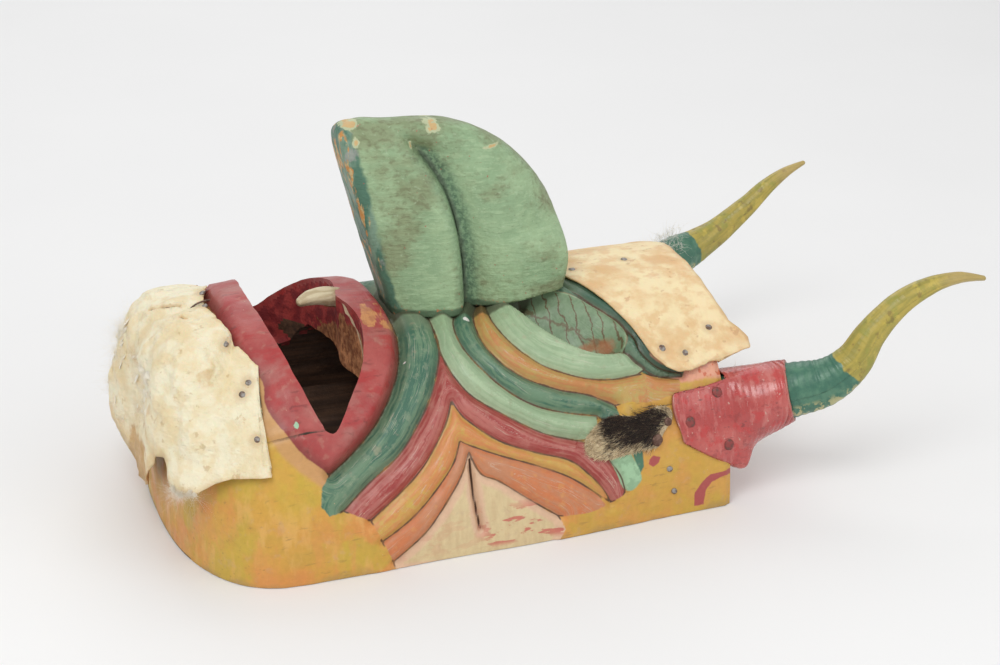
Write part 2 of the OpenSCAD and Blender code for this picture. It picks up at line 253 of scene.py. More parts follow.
def make_mesh(name, points, faces, smooth=True):
    """A mesh object from points in millimetres, with its faces turned outwards."""
    mesh = bpy.data.meshes.new(name)
    mesh.from_pydata((np.asarray(points) * MM).tolist(), [], faces)
    bm = bmesh.new()
    bm.from_mesh(mesh)
    bmesh.ops.recalc_face_normals(bm, faces=bm.faces)
    bm.to_mesh(mesh)
    bm.free()
    for face in mesh.polygons:
        face.use_smooth = smooth
    obj = bpy.data.objects.new(name, mesh)
    bpy.context.scene.collection.objects.link(obj)
    return obj


def points_of(obj):
    out = np.empty(len(obj.data.vertices) * 3)
    obj.data.vertices.foreach_get("co", out)
    return out.reshape(-1, 3) / MM


def set_values(obj, **values):
    """Writes a number at each point of the mesh, under each name."""
    for name, numbers in values.items():
        layer = obj.data.attributes.new(name, "FLOAT", "POINT")
        layer.data.foreach_set("value", np.asarray(numbers, np.float32))


def face_values(obj, name):
    """The centres or the normals of a mesh's faces."""
    out = np.empty(len(obj.data.polygons) * 3)
    obj.data.polygons.foreach_get(name, out)
    return out.reshape(-1, 3)


def apply_modifiers(obj):
    depsgraph = bpy.context.evaluated_depsgraph_get()
    mesh = bpy.data.meshes.new_from_object(obj.evaluated_get(depsgraph))
    obj.modifiers.clear()
    obj.data = mesh


def cut(obj, cutter):
    step = obj.modifiers.new("cut", "BOOLEAN")
    step.operation = "DIFFERENCE"
    step.solver = "MANIFOLD"
    step.object = cutter
    apply_modifiers(obj)
    bpy.data.objects.remove(cutter)


def finish_with(obj, materials):
    kept = np.zeros(len(obj.data.polygons), np.int32)
    obj.data.polygons.foreach_get("material_index", kept)
    obj.data.materials.clear()
    for material in materials if isinstance(materials, (list, tuple)) else [materials]:
        obj.data.materials.append(material)
    obj.data.polygons.foreach_set("material_index", np.minimum(kept, len(obj.data.materials) - 1))


def place(obj, materials, slot, *nodes):
    """Gives the piece its materials, rides it on the body and stands it for its CAD nodes."""
    finish_with(obj, materials)
    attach(obj, "root")
    if nodes:
        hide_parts(*nodes)
    return obj


# ---------------------------------------------------------------- materials

class Signal:
    """A value in a material's node tree. Arithmetic on it adds math nodes."""

    def __init__(self, paint, socket):
        self.paint = paint
        self.socket = socket

    def __add__(self, other):
        return self.paint.math("ADD", self, other)

    def __sub__(self, other):
        return self.paint.math("SUBTRACT", self, other)

    def __mul__(self, other):
        return self.paint.math("MULTIPLY", self, other)

    def __abs__(self):
        return self.paint.math("ABSOLUTE", self)


class Paint:
    """A node material built up one layer at a time."""

    def __init__(self, name):
        self.material = bpy.data.materials.new(name)
        self.material.use_nodes = True
        self.tree = self.material.node_tree
        self.shader = self.tree.nodes["Principled BSDF"]
        self.coords = self.node("TexCoord", "Object")

    def feed(self, socket, value):
        if isinstance(value, Signal):
            self.tree.links.new(value.socket, socket)
        elif isinstance(value, tuple) and len(value) == 3 and socket.type == "RGBA":
            socket.default_value = (*value, 1)
        else:
            socket.default_value = value

    def node(self, kind, output, inputs=(), **settings):
        """Adds a node with its settings and inputs, and gives one of its outputs."""
        node = self.tree.nodes.new("ShaderNode" + kind)
        for name, setting in settings.items():
            setattr(node, name, setting)
        for name, value in dict(inputs).items():
            self.feed(node.inputs[name], value)
        return Signal(self, node.outputs[output])

    def value(self, name):
        return self.node("Attribute", "Fac", attribute_name=name)

    def math(self, kind, a, b=0.0):
        return self.node("Math", 0, {0: a, 1: b}, operation=kind)

    def ramp(self, value, low, high, to_low=0.0, to_high=1.0):
        ends = {"From Min": low, "From Max": high, "To Min": to_low, "To Max": to_high}
        return self.node("MapRange", 0, {"Value": value, **ends}, interpolation_type="SMOOTHSTEP")

    def texture(self, place, detail):
        return self.node("TexNoise", 0, {"Vector": place, "Scale": 1, "Detail": detail,
                                         "Roughness": ROUGHNESS})

    def noise(self, size, detail=3.0, stretch=(1, 1, 1), shift=0.0):
        """Noise from 0 to 1 whose largest feature is size millimetres."""
        scale = [1 / (size * MM * s) for s in stretch]
        place = {"Vector": self.coords, "Scale": scale, "Location": (shift, shift * 0.7, shift * 1.3)}
        return self.texture(self.node("Mapping", 0, place), detail)

    def noise_at(self, x, y, z, detail=2.0):
        """Noise at given coordinates, for streaks that follow a painted band."""
        return self.texture(self.node("CombineXYZ", 0, {0: x, 1: y, 2: z}), detail)

    def mix(self, factor, a, b, blend="MIX"):
        return self.node("Mix", 2, {"Factor": factor, 6: a, 7: b}, data_type="RGBA", blend_type=blend)

    def blotch(self, colour, other, size, low, high, amount=1.0, stretch=(1, 1, 1), shift=0.0, detail=5.0):
        """Patches of another colour where a noise is high."""
        patches = self.ramp(self.noise(size, detail, stretch, shift=shift), low, high)
        return self.mix(patches * amount, colour, other)

    def finish(self, colour, rough, bump=None, depth_mm=0.3, **constants):
        self.feed(self.shader.inputs["Base Color"], colour)
        self.feed(self.shader.inputs["Roughness"], rough)
        if bump is not None:
            height = {"Strength": 1.0, "Distance": depth_mm * MM, "Height": bump}
            self.feed(self.shader.inputs["Normal"], self.node("Bump", 0, height))
        for name, number in constants.items():
            self.shader.inputs[name.replace("_", " ")].default_value = number
        return self.material


SALMON = (0.78, 0.38, 0.25)
CRACK_DIRT_AND_SHADE = (0.045, 0.03, 0.018)
# Bare wood of the cut mouth, made lighter than the wood itself: painted fill light on the shaded mouth wall.
LIT_BARE_WOOD = (0.74, 0.35, 0.16)

# ---------------------------------------------------------------- the carving and its painted bands
# Each line is in (x, distance round the arch from the centre line), and is the same on both sides. The
# BAND lines run from the nose to the jaw's rim, and the CHEEK lines from there to the temple.

LIP_EDGE = smooth_curve([(202, -40), (202, 12), (201, 44), (197, 70), (189, 97), (177, 120), (164, 139),
                         (150, 155), (130, 173), (113, 185)])
BAND_1 = smooth_curve([(234, 20), (234, 40), (231, 70), (228, 88), (220, 108), (210, 128), (194, 151),
                       (172, 176), (143, 197), (120, 217)])
BAND_2 = smooth_curve([(226, 135), (218, 153), (205, 172), (191, 189), (170, 207), (142, 228)])
BAND_3 = smooth_curve([(226, 171), (218, 189), (202, 208), (183, 226), (165, 239), (150, 248)])
BAND_4 = smooth_curve([(232, 182), (222, 203), (205, 226), (191, 243), (178, 254), (159, 268)])
CHEEK_1 = smooth_curve([(234, 40), (232, 68), (230, 88), (234, 112), (246, 135), (272, 157), (300, 176),
                        (330, 188)])
CHEEK_END = smooth_curve([(330, 188), (348, 198), (358, 213), (366, 227), (370, 242)])
CHEEK_2 = smooth_curve([(226, 135), (230, 146), (237, 156), (259, 176), (289, 191), (319, 203), (336, 218),
                        (350, 236), (357, 250)])
CHEEK_3 = smooth_curve([(226, 171), (233, 176), (258, 189), (292, 204), (318, 218), (336, 232), (345, 240)])
CHEEK_4 = smooth_curve([(232, 182), (240, 202), (255, 211), (280, 231), (307, 252)])
EYE_1 = smooth_curve([(266, -30), (266, 10), (264, 25), (252, 51), (250, 80), (258, 106), (274, 131),
                      (296, 150), (321, 161), (352, 170)])
EYE_2 = smooth_curve([(287, -30), (286, 8), (283, 23), (272, 46), (269, 78), (277, 104), (294, 124),
                      (321, 140), (347, 150), (370, 164)])
EYE_3 = smooth_curve([(292, -30), (291, 10), (289, 25), (286, 58), (293, 88), (307, 110), (325, 124),
                      (350, 136), (372, 141), (396, 141)])
BOWL_LOW = smooth_curve([(322, 20), (306, 30), (312, 53), (325, 82), (342, 102), (357, 113), (374, 119),
                         (388, 119)])
BOWL_TOP = smooth_curve([(322, 20), (341, 26), (360, 38), (373, 53), (388, 77), (397, 100), (388, 119)])
BROW = smooth_curve([(346, -30), (350, 4), (360, 19), (372, 45), (382, 67), (394, 86), (401, 108),
                     (406, 126), (418, 140), (436, 147)])
BROW_LOW = smooth_curve([(388, 119), (398, 132), (412, 146), (436, 150)])
CHIN_LIP = smooth_curve([(57, -40), (54, 28), (59, 73), (70, 103), (68, 121), (73, 140), (89, 167),
                         (112, 186)])
SLIT = smooth_curve([(232, 188), (233, 224), (237, 252)])
CRACKS = [smooth_curve([(60, 155), (83, 155), (100, 153), (115, 152)]),
          smooth_curve([(398, 171), (408, 173), (422, 173)])]

REGIONS = {"salmon": np.array([(398, -60), (480, -60), (480, 156), (440, 157), (414, 152), (398, 132)]),
           "lip": np.vstack([CHIN_LIP, LIP_EDGE[::-1]]),
           "green_1": np.vstack([LIP_EDGE, [(103, 196), (100, 210), (106, 219)], BAND_1[::-1],
                                 [(234, -40)]]),
           "red": np.vstack([BAND_1[6:], BAND_2[::-1], CHEEK_2, CHEEK_END[::-1], CHEEK_1[::-1]]),
           "yellow": np.vstack([BAND_2, BAND_3[::-1], CHEEK_3, CHEEK_2[::-1]]),
           "orange": np.vstack([BAND_3, BAND_4[::-1], CHEEK_4, [(335, 253), (352, 251)], CHEEK_3[::-1]]),
           "cream": np.vstack([BAND_4, [(161, 276), (300, 290), (312, 264)], CHEEK_4[::-1]]),
           "sage": np.vstack([[(236, -60)], CHEEK_1, [(345, 190)], EYE_1[::-1], [(266, -60)]]),
           "green_2": np.vstack([EYE_1, [(356, 176), (370, 186)], EYE_2[::-1]]),
           "eye_band": np.vstack([EYE_2, [(400, 168), (430, 166), (432, 153), (412, 146)], EYE_3[::-1]]),
           "lid": np.vstack([EYE_3, [(404, 138)], BOWL_TOP[::-1], [(300, -30)]]),
           "bowl": np.vstack([BOWL_LOW, BOWL_TOP[::-1]]),
           "brow": np.vstack([BOWL_TOP, BROW_LOW, BROW[::-1]]),
           "tail": smooth_curve([(350, 190), (369, 197), (379, 214), (385, 233), (371, 241), (358, 214),
                                 (350, 190)]),
           "sliver": np.array([(375, 200), (387, 202), (388, 222), (383, 229)]),
           "splotch": np.array([(393, 217), (398, 214), (404, 217), (402, 222), (396, 224), (392, 221)]),
           "stroke": np.array([(436, 268), (436, 256), (443, 247), (452, 241), (466, 240), (474, 238),
                               (474, 244), (464, 245), (453, 248), (447, 255), (445, 268)])}
SPOTS = {"white_dots": [(263, 53, 2.8), (196, 92, 1.2)], "green_dots": [(87, 147, 2.8)],
         "rust_spot": [(378, 104, 8), (366, 97, 6)]}
BARED = np.array([(176, 20), (206, 24), (207, 48), (190, 62), (168, 56)])
GLUE = smooth_curve([(-8, 186), (-13, 177), (-24, 170), (-40, 160), (-52, 146), (-58, 130), (-60, 114)])
GROOVES = [(LIP_EDGE, 12, 12), (BAND_1, 8, 12), (BAND_2, 6.5, 10), (BAND_3, 5, 8), (BAND_4, 4.5, 7),
           (CHEEK_1, 7.5, 11), (CHEEK_2, 6, 10), (CHEEK_3, 5, 9), (CHEEK_4, 4.5, 8), (CHEEK_END, 3.5, 6),
           (EYE_1, 7.5, 11), (EYE_2, 7.5, 10), (EYE_3, 6, 9), (BROW, 5, 8), (BROW_LOW, 5, 6), (SLIT, 7, 5)]


def flat_place(points):
    """(x, distance round the arch) of points, the same for both sides."""
    return np.stack([points[..., 0], np.abs(unrolled(points))], -1)


def relief(points):
    """Height of the carving over the plain block, distance to the nearest groove, and place along it."""
    q = flat_place(points)
    out = np.zeros(len(q))
    groove = np.full(len(q), 28.0)
    along = np.zeros(len(q))
    for curve, deep, wide in GROOVES:
        near = ((q[:, 0] > curve[:, 0].min() - 30) & (q[:, 0] < curve[:, 0].max() + 30)
                & (q[:, 1] > curve[:, 1].min() - 30) & (q[:, 1] < curve[:, 1].max() + 30))
        d, run = curve_place(q[near], curve)
        rounded = np.hypot(d, 1.7) - 1.2
        out[near] = np.minimum(out[near], -deep * np.clip(1 - rounded / wide, 0, 1) ** 2)
        along[near] = np.where(d < groove[near], run, along[near])
        groove[near] = np.minimum(groove[near], d)
    lip = region_distance(q, REGIONS["lip"])
    out += 8 * ease(-3, 9, lip)
    bowl = region_distance(q, REGIONS["bowl"])
    low = curve_distance(q, BOWL_LOW)
    slope = curve_distance(q, BOWL_TOP) / np.maximum(1, low + curve_distance(q, BOWL_TOP))
    out -= 25 * ease(-1, 7, bowl) * ease(-0.05, 0.8, slope) - 2 * np.exp(-((bowl + 5) / 4) ** 2)
    out += 4.5 * ease(0, 8, region_distance(q, REGIONS["brow"]))
    out -= 2.2 * ease(0, 6, region_distance(q, REGIONS["cream"]))
    for crack in CRACKS:
        out -= 1.8 * np.exp(-curve_distance(q, crack) / 1.2)
    return out, groove, along


def push(points, lift):
    """Moves points of the block out along their own section."""
    r = np.maximum(30, np.hypot(points[:, 1], points[:, 2]))
    out = points.copy()
    out[:, 1:] *= (1 + lift / r)[:, None]
    return out


MOUTH_MIDDLE = (126, 0)
MOUTH_HALF = smooth_curve([(161, 0), (168, 34), (166, 62), (157, 92), (138, 118), (116, 134), (99, 109),
                           (89, 70), (84, 24), (83, 0)], 8)


def nose_half(x):
    return 27 + 16 * ease(175, 275, x)


def build_mask():
    cols, trunk, chin = 296, 214, 74
    xs = np.concatenate([chin_stations(0, chin)[:-1], np.linspace(CHIN_X, END_X, trunk)])
    skin = np.concatenate([even_section(x, cols) for x in xs])
    lift = relief(skin)[0] + 1.1 * noise3(skin, 55, 3, 3) + 0.35 * noise3(skin, 9, 8, 2)
    toward_end = ease(END_X - 6, END_X, skin[:, 0])
    skin = push(skin, lift - 2.5 * toward_end)
    skin[:, 0] = np.minimum(skin[:, 0], END_X)
    middle = np.array([END_X, 0, 70.0])
    rings = [skin]
    for shrink in (0.93, 0.8, 0.62, 0.42, 0.2):
        inner = middle + (skin[-cols:] - middle) * shrink
        inner[:, 0] += 0.7 * noise3(inner, 30, 5, 2)
        rings.append(inner)
    points = np.concatenate(rings)
    body = make_mesh("carved_mask", points, closed_faces(len(points) // cols, cols))

    cols, rows = 84, 66
    xs = np.concatenate([chin_stations(-WALL, 20)[1:-1], np.linspace(CHIN_X, END_X - END_WALL, rows - 18)])
    hollow = np.concatenate([even_section(x, cols, -WALL) for x in xs])
    gouge = np.abs(np.sin(unrolled(hollow) / 9 + 2.5 * noise3(hollow, 70, 21, 1)
                          + np.floor(hollow[:, 0] / 46) * 1.7))
    hollow = push(hollow, 1.8 * gouge - 1.2 + 1.5 * noise3(hollow, 60, 23, 2))
    ceiling = LIP_UNDER + 60 * ease(182, 206, hollow[:, 0]) + 1.2 * gouge
    hollow[:, 2] = np.minimum(hollow[:, 2], ceiling)
    beside_mouth = ease(118, 150, hollow[:, 0]) * ease(256, 232, hollow[:, 0])
    hollow[:, 1] *= 1 - 0.32 * ease(34, 12, hollow[:, 2]) * beside_mouth
    column = np.arange(len(hollow)) % cols
    hollow[(column == 0) | (column == cols - 1), 2] = -4
    cut(body, make_mesh("hollow", hollow, closed_faces(len(xs), cols)))

    loop = even_loop(np.vstack([MOUTH_HALF[:-1], (MOUTH_HALF * (1, -1))[::-1][:-1]]), 240)
    levels = np.arange(40, 252, 3.0)
    wall = []
    for z in levels:
        tilt = 1 + 0.06 * ease(190, 120, z)
        narrow = tilt * (1 - 0.2 * ease(96, 80, z))
        outline = (loop - MOUTH_MIDDLE) * (tilt, narrow) + MOUTH_MIDDLE
        ring = np.column_stack([outline, np.full(len(loop), z)])
        wobble = 1.1 * noise3(ring, 26, 41, 2) + 0.5 * noise3(ring, 8, 43, 1)
        out = ring[:, :2] - MOUTH_MIDDLE
        ring[:, :2] += out / np.linalg.norm(out, axis=1)[:, None] * wobble[:, None]
        wall.append(ring)
    cut(body, make_mesh("mouth", np.concatenate(wall), closed_faces(len(levels), len(loop))))
    return body


def depth_under(points):
    """How far points lie under the carved skin."""
    r = np.hypot(points[:, 1], points[:, 2])
    return r * (1 / np.maximum(0.01, level(points)) - 1) + relief(points)[0]


def paint_mask(body):
    p = points_of(body)
    q = flat_place(p)
    _, groove, along = relief(p)
    low, top = curve_distance(q, BOWL_LOW), curve_distance(q, BOWL_TOP)
    far_side = p[:, 1] > 0
    nose_side = q[:, 1] - nose_half(p[:, 0]) + 26 * ease(300, 352, p[:, 0])
    set_values(body, groove=groove, along=along, station=p[:, 0], low=p[:, 2],
               slit=curve_distance(q, SLIT),
               depth=depth_under(p) - 24 * ease(-6, 8, p[:, 1]),
               bared=region_distance(q, BARED) - 40 * far_side,
               glue=curve_distance(p[:, 1:], GLUE) + 40 * (p[:, 0] < 150),
               brow_wide=(region_distance(q, REGIONS["brow"]) + 10 * ease(128, 112, q[:, 1])
                          + 5 * ease(156, 142, q[:, 1])),
               slope=top / np.maximum(1, low + top),
               seat=np.maximum(nose_side, np.maximum(204 - p[:, 0], p[:, 0] - 352)))
    set_values(body, **{name: region_distance(q, outline) for name, outline in REGIONS.items()})
    for name, spots in SPOTS.items():
        gaps = [np.hypot(q[:, 0] - x, q[:, 1] - s) - r for x, s, r in spots]
        set_values(body, **{name: np.min(gaps, 0) + 40 * far_side})
    for i, crack in enumerate(CRACKS):
        set_values(body, **{f"crack_{i}": curve_distance(q, crack) + 30 * far_side})

    centres = face_values(body, "center") / MM
    depth = depth_under(centres)
    rim = centres[:, 2] < 0.5
    end = (centres[:, 0] > END_X - 2.5) & (face_values(body, "normal")[:, 0] > 0.7)
    mouth_gap = curve_distance(np.abs(centres[:, :2]), MOUTH_HALF) - 0.07 * np.abs(centres[:, 1])
    in_hollow = (depth > WALL - 6) & ((mouth_gap > 3) | (centres[:, 2] < LIP_UNDER - 2))
    kind = np.where((depth > 4.2) & (mouth_gap < 9), 1, 0)
    kind[in_hollow | rim] = 2
    kind[end] = 3
    body.data.polygons.foreach_set("material_index", kind.astype(np.int32))
    body.data.set_sharp_from_angle(angle=math.radians(50))


EDGED = ("lip", "green_1", "red", "yellow", "orange", "cream", "sage", "green_2", "eye_band", "lid", "brow")


def mask_paint():
    m = Paint("painted_mask")
    ragged = (m.noise(14, 5) - 0.5) * 7.0 + (m.noise(3, 3) - 0.5) * 3.0
    fine = m.noise(7, 6, shift=9.2)
    groove = m.value("groove")
    across = groove + m.noise(26, 3, shift=77) * 5.0
    streak = m.noise_at(across * 0.34, m.value("along") * 0.016, m.noise(70, 2) * 2.0, 3)
    scratch = m.noise_at(across * 1.3, m.value("along") * 0.04, m.noise(50, 2) * 4.0, 4)

    def inside(name, shift=0.0, soft=0.5, wobble=1.0):
        edge = m.value(name) + ragged * wobble
        return m.ramp(edge, shift - soft, shift + soft)

    def brushed(first, second, worn, amount=0.5):
        """Two tones in strokes along a band, with flecks of a third where the paint is worn."""
        tone = m.mix(m.ramp(streak + m.noise(20, 4) * 0.5, 0.62, 0.86), first, second)
        flecks = m.ramp(fine, 0.53, 0.66) * m.ramp(groove, 3, 9, amount * 0.3, amount * 0.75)
        tone = m.mix(flecks, tone, worn)
        ridge = m.ramp(scratch, 0.6, 0.66) * m.ramp(groove, 4, 8, 0, 0.45)
        return m.mix(ridge, tone, (0.62, 0.56, 0.46))

    base = m.blotch((0.66, 0.36, 0.06), (0.7, 0.29, 0.07), 60, 0.4, 0.6, shift=3.1, detail=6)
    base = m.blotch(base, (0.57, 0.42, 0.05), 60, 0.5, 0.6, 0.7, shift=14, detail=7)
    base = m.blotch(base, (0.5, 0.33, 0.05), 16, 0.48, 0.66, 0.4, (2, 1, 1), 8, 8)
    base = m.blotch(base, (0.8, 0.46, 0.15), 12, 0.5, 0.66, 0.45, (1, 1, 3), 26, 8)
    base = m.blotch(base, (0.74, 0.31, 0.09), 20, 0.5, 0.62, 0.4, (0.8, 1, 2.4), 36, 8)
    olive = m.ramp(m.value("station"), 300, 350) * 0.7
    base = m.mix(olive, base, m.blotch((0.6, 0.37, 0.055), (0.64, 0.33, 0.07), 26, 0.42, 0.6, shift=16,
                                       detail=6))
    base = m.blotch(base, (0.3, 0.17, 0.05), 3.4, 0.6, 0.7, 0.4, (5, 1, 1), 18, 6)
    fresh = m.ramp(m.value("lip") + ragged * 1.6, -62, -30) * 0.6
    base = m.mix(fresh * m.ramp(m.value("station"), 150, 60), base, (0.6, 0.43, 0.045))
    # Browner and darker towards the rim, low down by the table.
    darker_near_rim = m.ramp(m.value("low") + m.noise(24, 4) * 22, 16, 8)
    base = m.mix(darker_near_rim * 0.7, base, (0.42, 0.27, 0.09))
    tan = m.ramp(m.value("lip") + ragged * 0.6, -15, -10)
    base = m.mix(tan * 0.8, base, (0.6, 0.32, 0.14))
    brow_green = m.ramp(m.value("brow_wide"), 0, 2)
    salmon = m.mix(m.ramp(fine, 0.5, 0.6), SALMON, (0.74, 0.33, 0.24))
    salmon = m.blotch(salmon, (0.62, 0.13, 0.05), 16, 0.56, 0.59, 0.9, (1, 1, 2), 31)
    colour = m.mix(brow_green, m.mix(inside("salmon", 0, 2), base, salmon), (0.06, 0.14, 0.09))

    lip = m.blotch((0.38, 0.05, 0.048), (0.45, 0.1, 0.088), 44, 0.38, 0.64, shift=3.1)
    # Greyish pink patches: dust on the paint and a painted sheen.
    lip = m.blotch(lip, (0.43, 0.19, 0.16), 30, 0.44, 0.66, 0.55, shift=44, detail=7)
    lip = m.blotch(lip, (0.42, 0.022, 0.024), 20, 0.52, 0.64, 0.65, (2, 1, 1), 47, 8)
    lip = m.blotch(lip, (0.16, 0.03, 0.028), 4, 0.58, 0.7, 0.5, (4, 1, 2), 49, 7)
    # Darker red towards the lip's edges, where it rounds over: painted shade.
    lip_edge_shade = m.ramp(m.value("lip") + ragged * 0.5, 7, 0.5)
    lip = m.mix(lip_edge_shade * 0.55, lip, (0.2, 0.04, 0.034))
    lip = m.mix(inside("bared", 0, 0.6, 0.8) * m.ramp(m.noise(9, 3, (1, 4, 1), shift=5), 0.44, 0.5), lip,
                m.mix(m.ramp(fine, 0.45, 0.6), (0.62, 0.28, 0.11), (0.5, 0.2, 0.09)))
    colour = m.mix(inside("lip", 0, 0.7, 0.35), colour, lip)
    green = brushed((0.055, 0.155, 0.1), (0.15, 0.26, 0.16), (0.3, 0.36, 0.24))
    colour = m.mix(inside("green_1", 0, 0.7, 0.7), colour, green)
    philtrum = m.ramp(m.value("seat"), 34, 8) * m.ramp(m.value("lip"), 4, -2)
    colour = m.mix(philtrum * 0.7, colour, (0.2, 0.25, 0.16))
    colour = m.mix(inside("red", 0.2, 0.6, 0.45), colour,
                   brushed((0.36, 0.05, 0.045), (0.48, 0.15, 0.125), (0.52, 0.26, 0.2)))
    colour = m.mix(inside("yellow", 0.3, 0.6, 0.4), colour,
                   brushed((0.62, 0.36, 0.085), (0.65, 0.26, 0.085), (0.58, 0.44, 0.09), 0.9))
    colour = m.mix(inside("orange", 0.3, 0.6, 0.5), colour,
                   brushed((0.62, 0.2, 0.075), (0.56, 0.24, 0.12), (0.68, 0.32, 0.1), 0.7))
    cream = m.blotch((0.72, 0.58, 0.33), (0.66, 0.5, 0.28), 7, 0.4, 0.66, stretch=(1, 1, 3.5), shift=5,
                     detail=6)
    bevel = m.math("MINIMUM", m.value("slit"), m.value("cream")) + ragged * 0.7
    cream = m.mix(m.ramp(bevel, 9, 5, 0, 0.75), cream, (0.74, 0.47, 0.33))
    # A near black line down the carved slit: painted shade.
    cream = m.mix(m.ramp(m.value("slit"), 1.3, 0.7), cream, (0.06, 0.03, 0.02))
    low = m.value("low")
    near_foot = m.ramp(low, 46, 30) * m.ramp(low, 2, 8)
    smears = m.ramp(m.noise(9, 7, (3, 1, 1), shift=12), 0.52, 0.56) * near_foot
    smears = smears * m.ramp(m.value("station"), 232, 250, 0.15, 0.85)
    cream = m.mix(smears, cream, (0.58, 0.13, 0.1))
    colour = m.mix(inside("cream", 0.2, 0.6, 0.6), colour, cream)
    sage = brushed((0.4, 0.53, 0.33), (0.32, 0.45, 0.27), (0.27, 0.3, 0.17), 0.4)
    colour = m.mix(inside("sage", 0.3, 0.6, 0.4), colour, sage)
    colour = m.mix(inside("green_2", 0.2, 0.6, 0.4), colour, green)
    colour = m.mix(inside("eye_band", 0.2, 0.6, 0.8), colour,
                   brushed((0.52, 0.34, 0.1), (0.56, 0.24, 0.08), (0.42, 0.4, 0.12), 0.6))
    colour = m.mix(inside("lid", 0.4, 0.6, 0.5), colour, sage)
    bowl = m.mix(m.ramp(fine, 0.45, 0.62), (0.33, 0.47, 0.29), (0.24, 0.35, 0.21))
    place_x = m.value("station") * 0.105 + m.noise(14, 4) * 1.1
    splits = abs(m.math("FRACT", place_x) - 0.5)
    # The bowl's upper wall, turned away from the light, is painted darker green: painted shade.
    wall = m.ramp(m.value("slope"), 0.78, 0.62) * m.ramp(m.value("bowl"), 1, 3)
    bowl = m.mix(wall * 0.6, bowl, (0.15, 0.23, 0.13))
    bowl = m.mix(m.ramp(splits, 0.09, 0.03) * (wall * 0.85), bowl, (0.14, 0.08, 0.035))
    ledge = abs(m.value("slope") + m.noise(9, 4) * 0.3 - 0.62)
    bowl = m.mix(m.ramp(ledge, 0.035, 0.015) * 0.7, bowl, (0.16, 0.1, 0.05))
    rust = m.ramp(m.value("rust_spot") + m.noise(8, 8) * 16, 12, 4, 0, 0.85)
    bowl = m.mix(rust, bowl, m.mix(fine, (0.3, 0.11, 0.035), (0.46, 0.17, 0.06)))
    colour = m.mix(inside("bowl", 0.5, 1.2, 0.3), colour, bowl)
    rim = m.ramp(abs(m.value("bowl") + ragged * 0.25), 1.4, 0.5)
    colour = m.mix(rim * 0.6, colour, (0.3, 0.2, 0.11))
    brow = brushed((0.06, 0.14, 0.09), (0.14, 0.23, 0.15), (0.3, 0.36, 0.3), 0.3)
    colour = m.mix(inside("brow", 0.2, 0.6, 0.5), colour, brow)
    colour = m.mix(inside("sliver", 0.2, 0.8, 0.5), colour, (0.07, 0.19, 0.12))
    colour = m.mix(inside("tail", 0.2, 0.8, 0.5), colour,
                   m.mix(m.ramp(fine, 0.45, 0.6), (0.36, 0.58, 0.36), (0.28, 0.46, 0.28)))
    for name in ("splotch", "stroke"):
        colour = m.mix(inside(name, 0.1, 0.5, 0.35), colour, (0.42, 0.08, 0.075))
    for name, tint in (("white_dots", (0.85, 0.83, 0.8)), ("green_dots", (0.36, 0.58, 0.38))):
        colour = m.mix(inside_dot(m, name, ragged), colour, tint)

    scuff = m.ramp(groove, 5, 12) * m.ramp(m.noise(10, 8, shift=41), 0.58, 0.68)
    colour = m.mix(scuff * 0.2, colour, (0.55, 0.36, 0.26))
    colour = m.blotch(colour, (0.64, 0.45, 0.28), 3, 0.72, 0.75, 0.6, shift=51, detail=4)
    # Near black lines where the painted bands meet down in the grooves: painted shade, with some dirt.
    edge = 9.0
    for name in EDGED:
        edge = m.math("MINIMUM", edge, abs(m.value(name)))
    edge = edge + (m.noise(9, 3) - 0.5) * 1.4
    line = m.ramp(edge, 1.05, 0.35) * m.ramp(groove, 5, 2.5)
    line = line * m.ramp(m.noise(24, 3, shift=81), 0.35, 0.6, 0.6, 0.95)
    colour = m.mix(line, colour, (0.06, 0.026, 0.014))
    # Browner towards the bottom of every groove: painted shade, with some dirt.
    colour = m.mix(m.ramp(groove, 4, 0.5, 0, 0.2), colour, (0.2, 0.1, 0.05))
    seat = m.ramp(m.value("seat") + m.noise(7, 4) * -5.0, 2.5, -2)
    colour = m.mix(seat * 0.8, colour, (0.06, 0.06, 0.03))
    # Near black along the cracks: dirt in them and painted shade.
    for i in range(len(CRACKS)):
        crack = m.ramp(m.value(f"crack_{i}") + m.noise(4, 3) * 0.6, 1.5, 0.8)
        colour = m.mix(crack, colour, CRACK_DIRT_AND_SHADE)
    colour = m.mix(0.6, colour, m.mix(m.noise(4, 7, shift=61), (0.7, 0.68, 0.66), (1.06, 1.05, 1.04)),
                   "MULTIPLY")
    height_mix = fine * 0.5 + streak * 0.9
    height_mix = height_mix + m.noise(1.6, 3, shift=3) * 0.25
    rough = m.ramp(m.noise(20, 4, shift=71), 0.35, 0.7, 0.34, 0.6)
    return m.finish(colour, rough, height_mix, 0.55)


def inside_dot(m, name, ragged):
    return m.ramp(m.value(name) + ragged * 0.3, 0.5, -0.3)


def bare_wood(name, light, dark, red_edge=False, lines=(26, 1, 1)):
    m = Paint(name)
    grain = m.noise(5, 6, lines, shift=2)
    colour = m.mix(m.ramp(grain, 0.35, 0.65), dark, light)
    colour = m.blotch(colour, tuple(0.55 * c for c in dark), 30, 0.45, 0.7, 0.6, detail=4)
    if red_edge:
        depth = m.value("depth") + (m.noise(15, 6) - 0.5) * 44
        red = m.blotch((0.22, 0.022, 0.025), (0.4, 0.05, 0.045), 10, 0.42, 0.6, detail=6)
        colour = m.mix(m.ramp(depth, 17, 14), colour, red)
        glue = m.value("glue") + (m.noise(9, 5) - 0.5) * 7
        colour = m.mix(m.ramp(glue, 2.2, 1.2), colour, (0.7, 0.55, 0.36))
    rough = m.ramp(m.noise(12, 3), 0.3, 0.7, 0.6, 0.85)
    return m.finish(colour, rough, grain + m.noise(3, 4) * 0.5, 0.9)


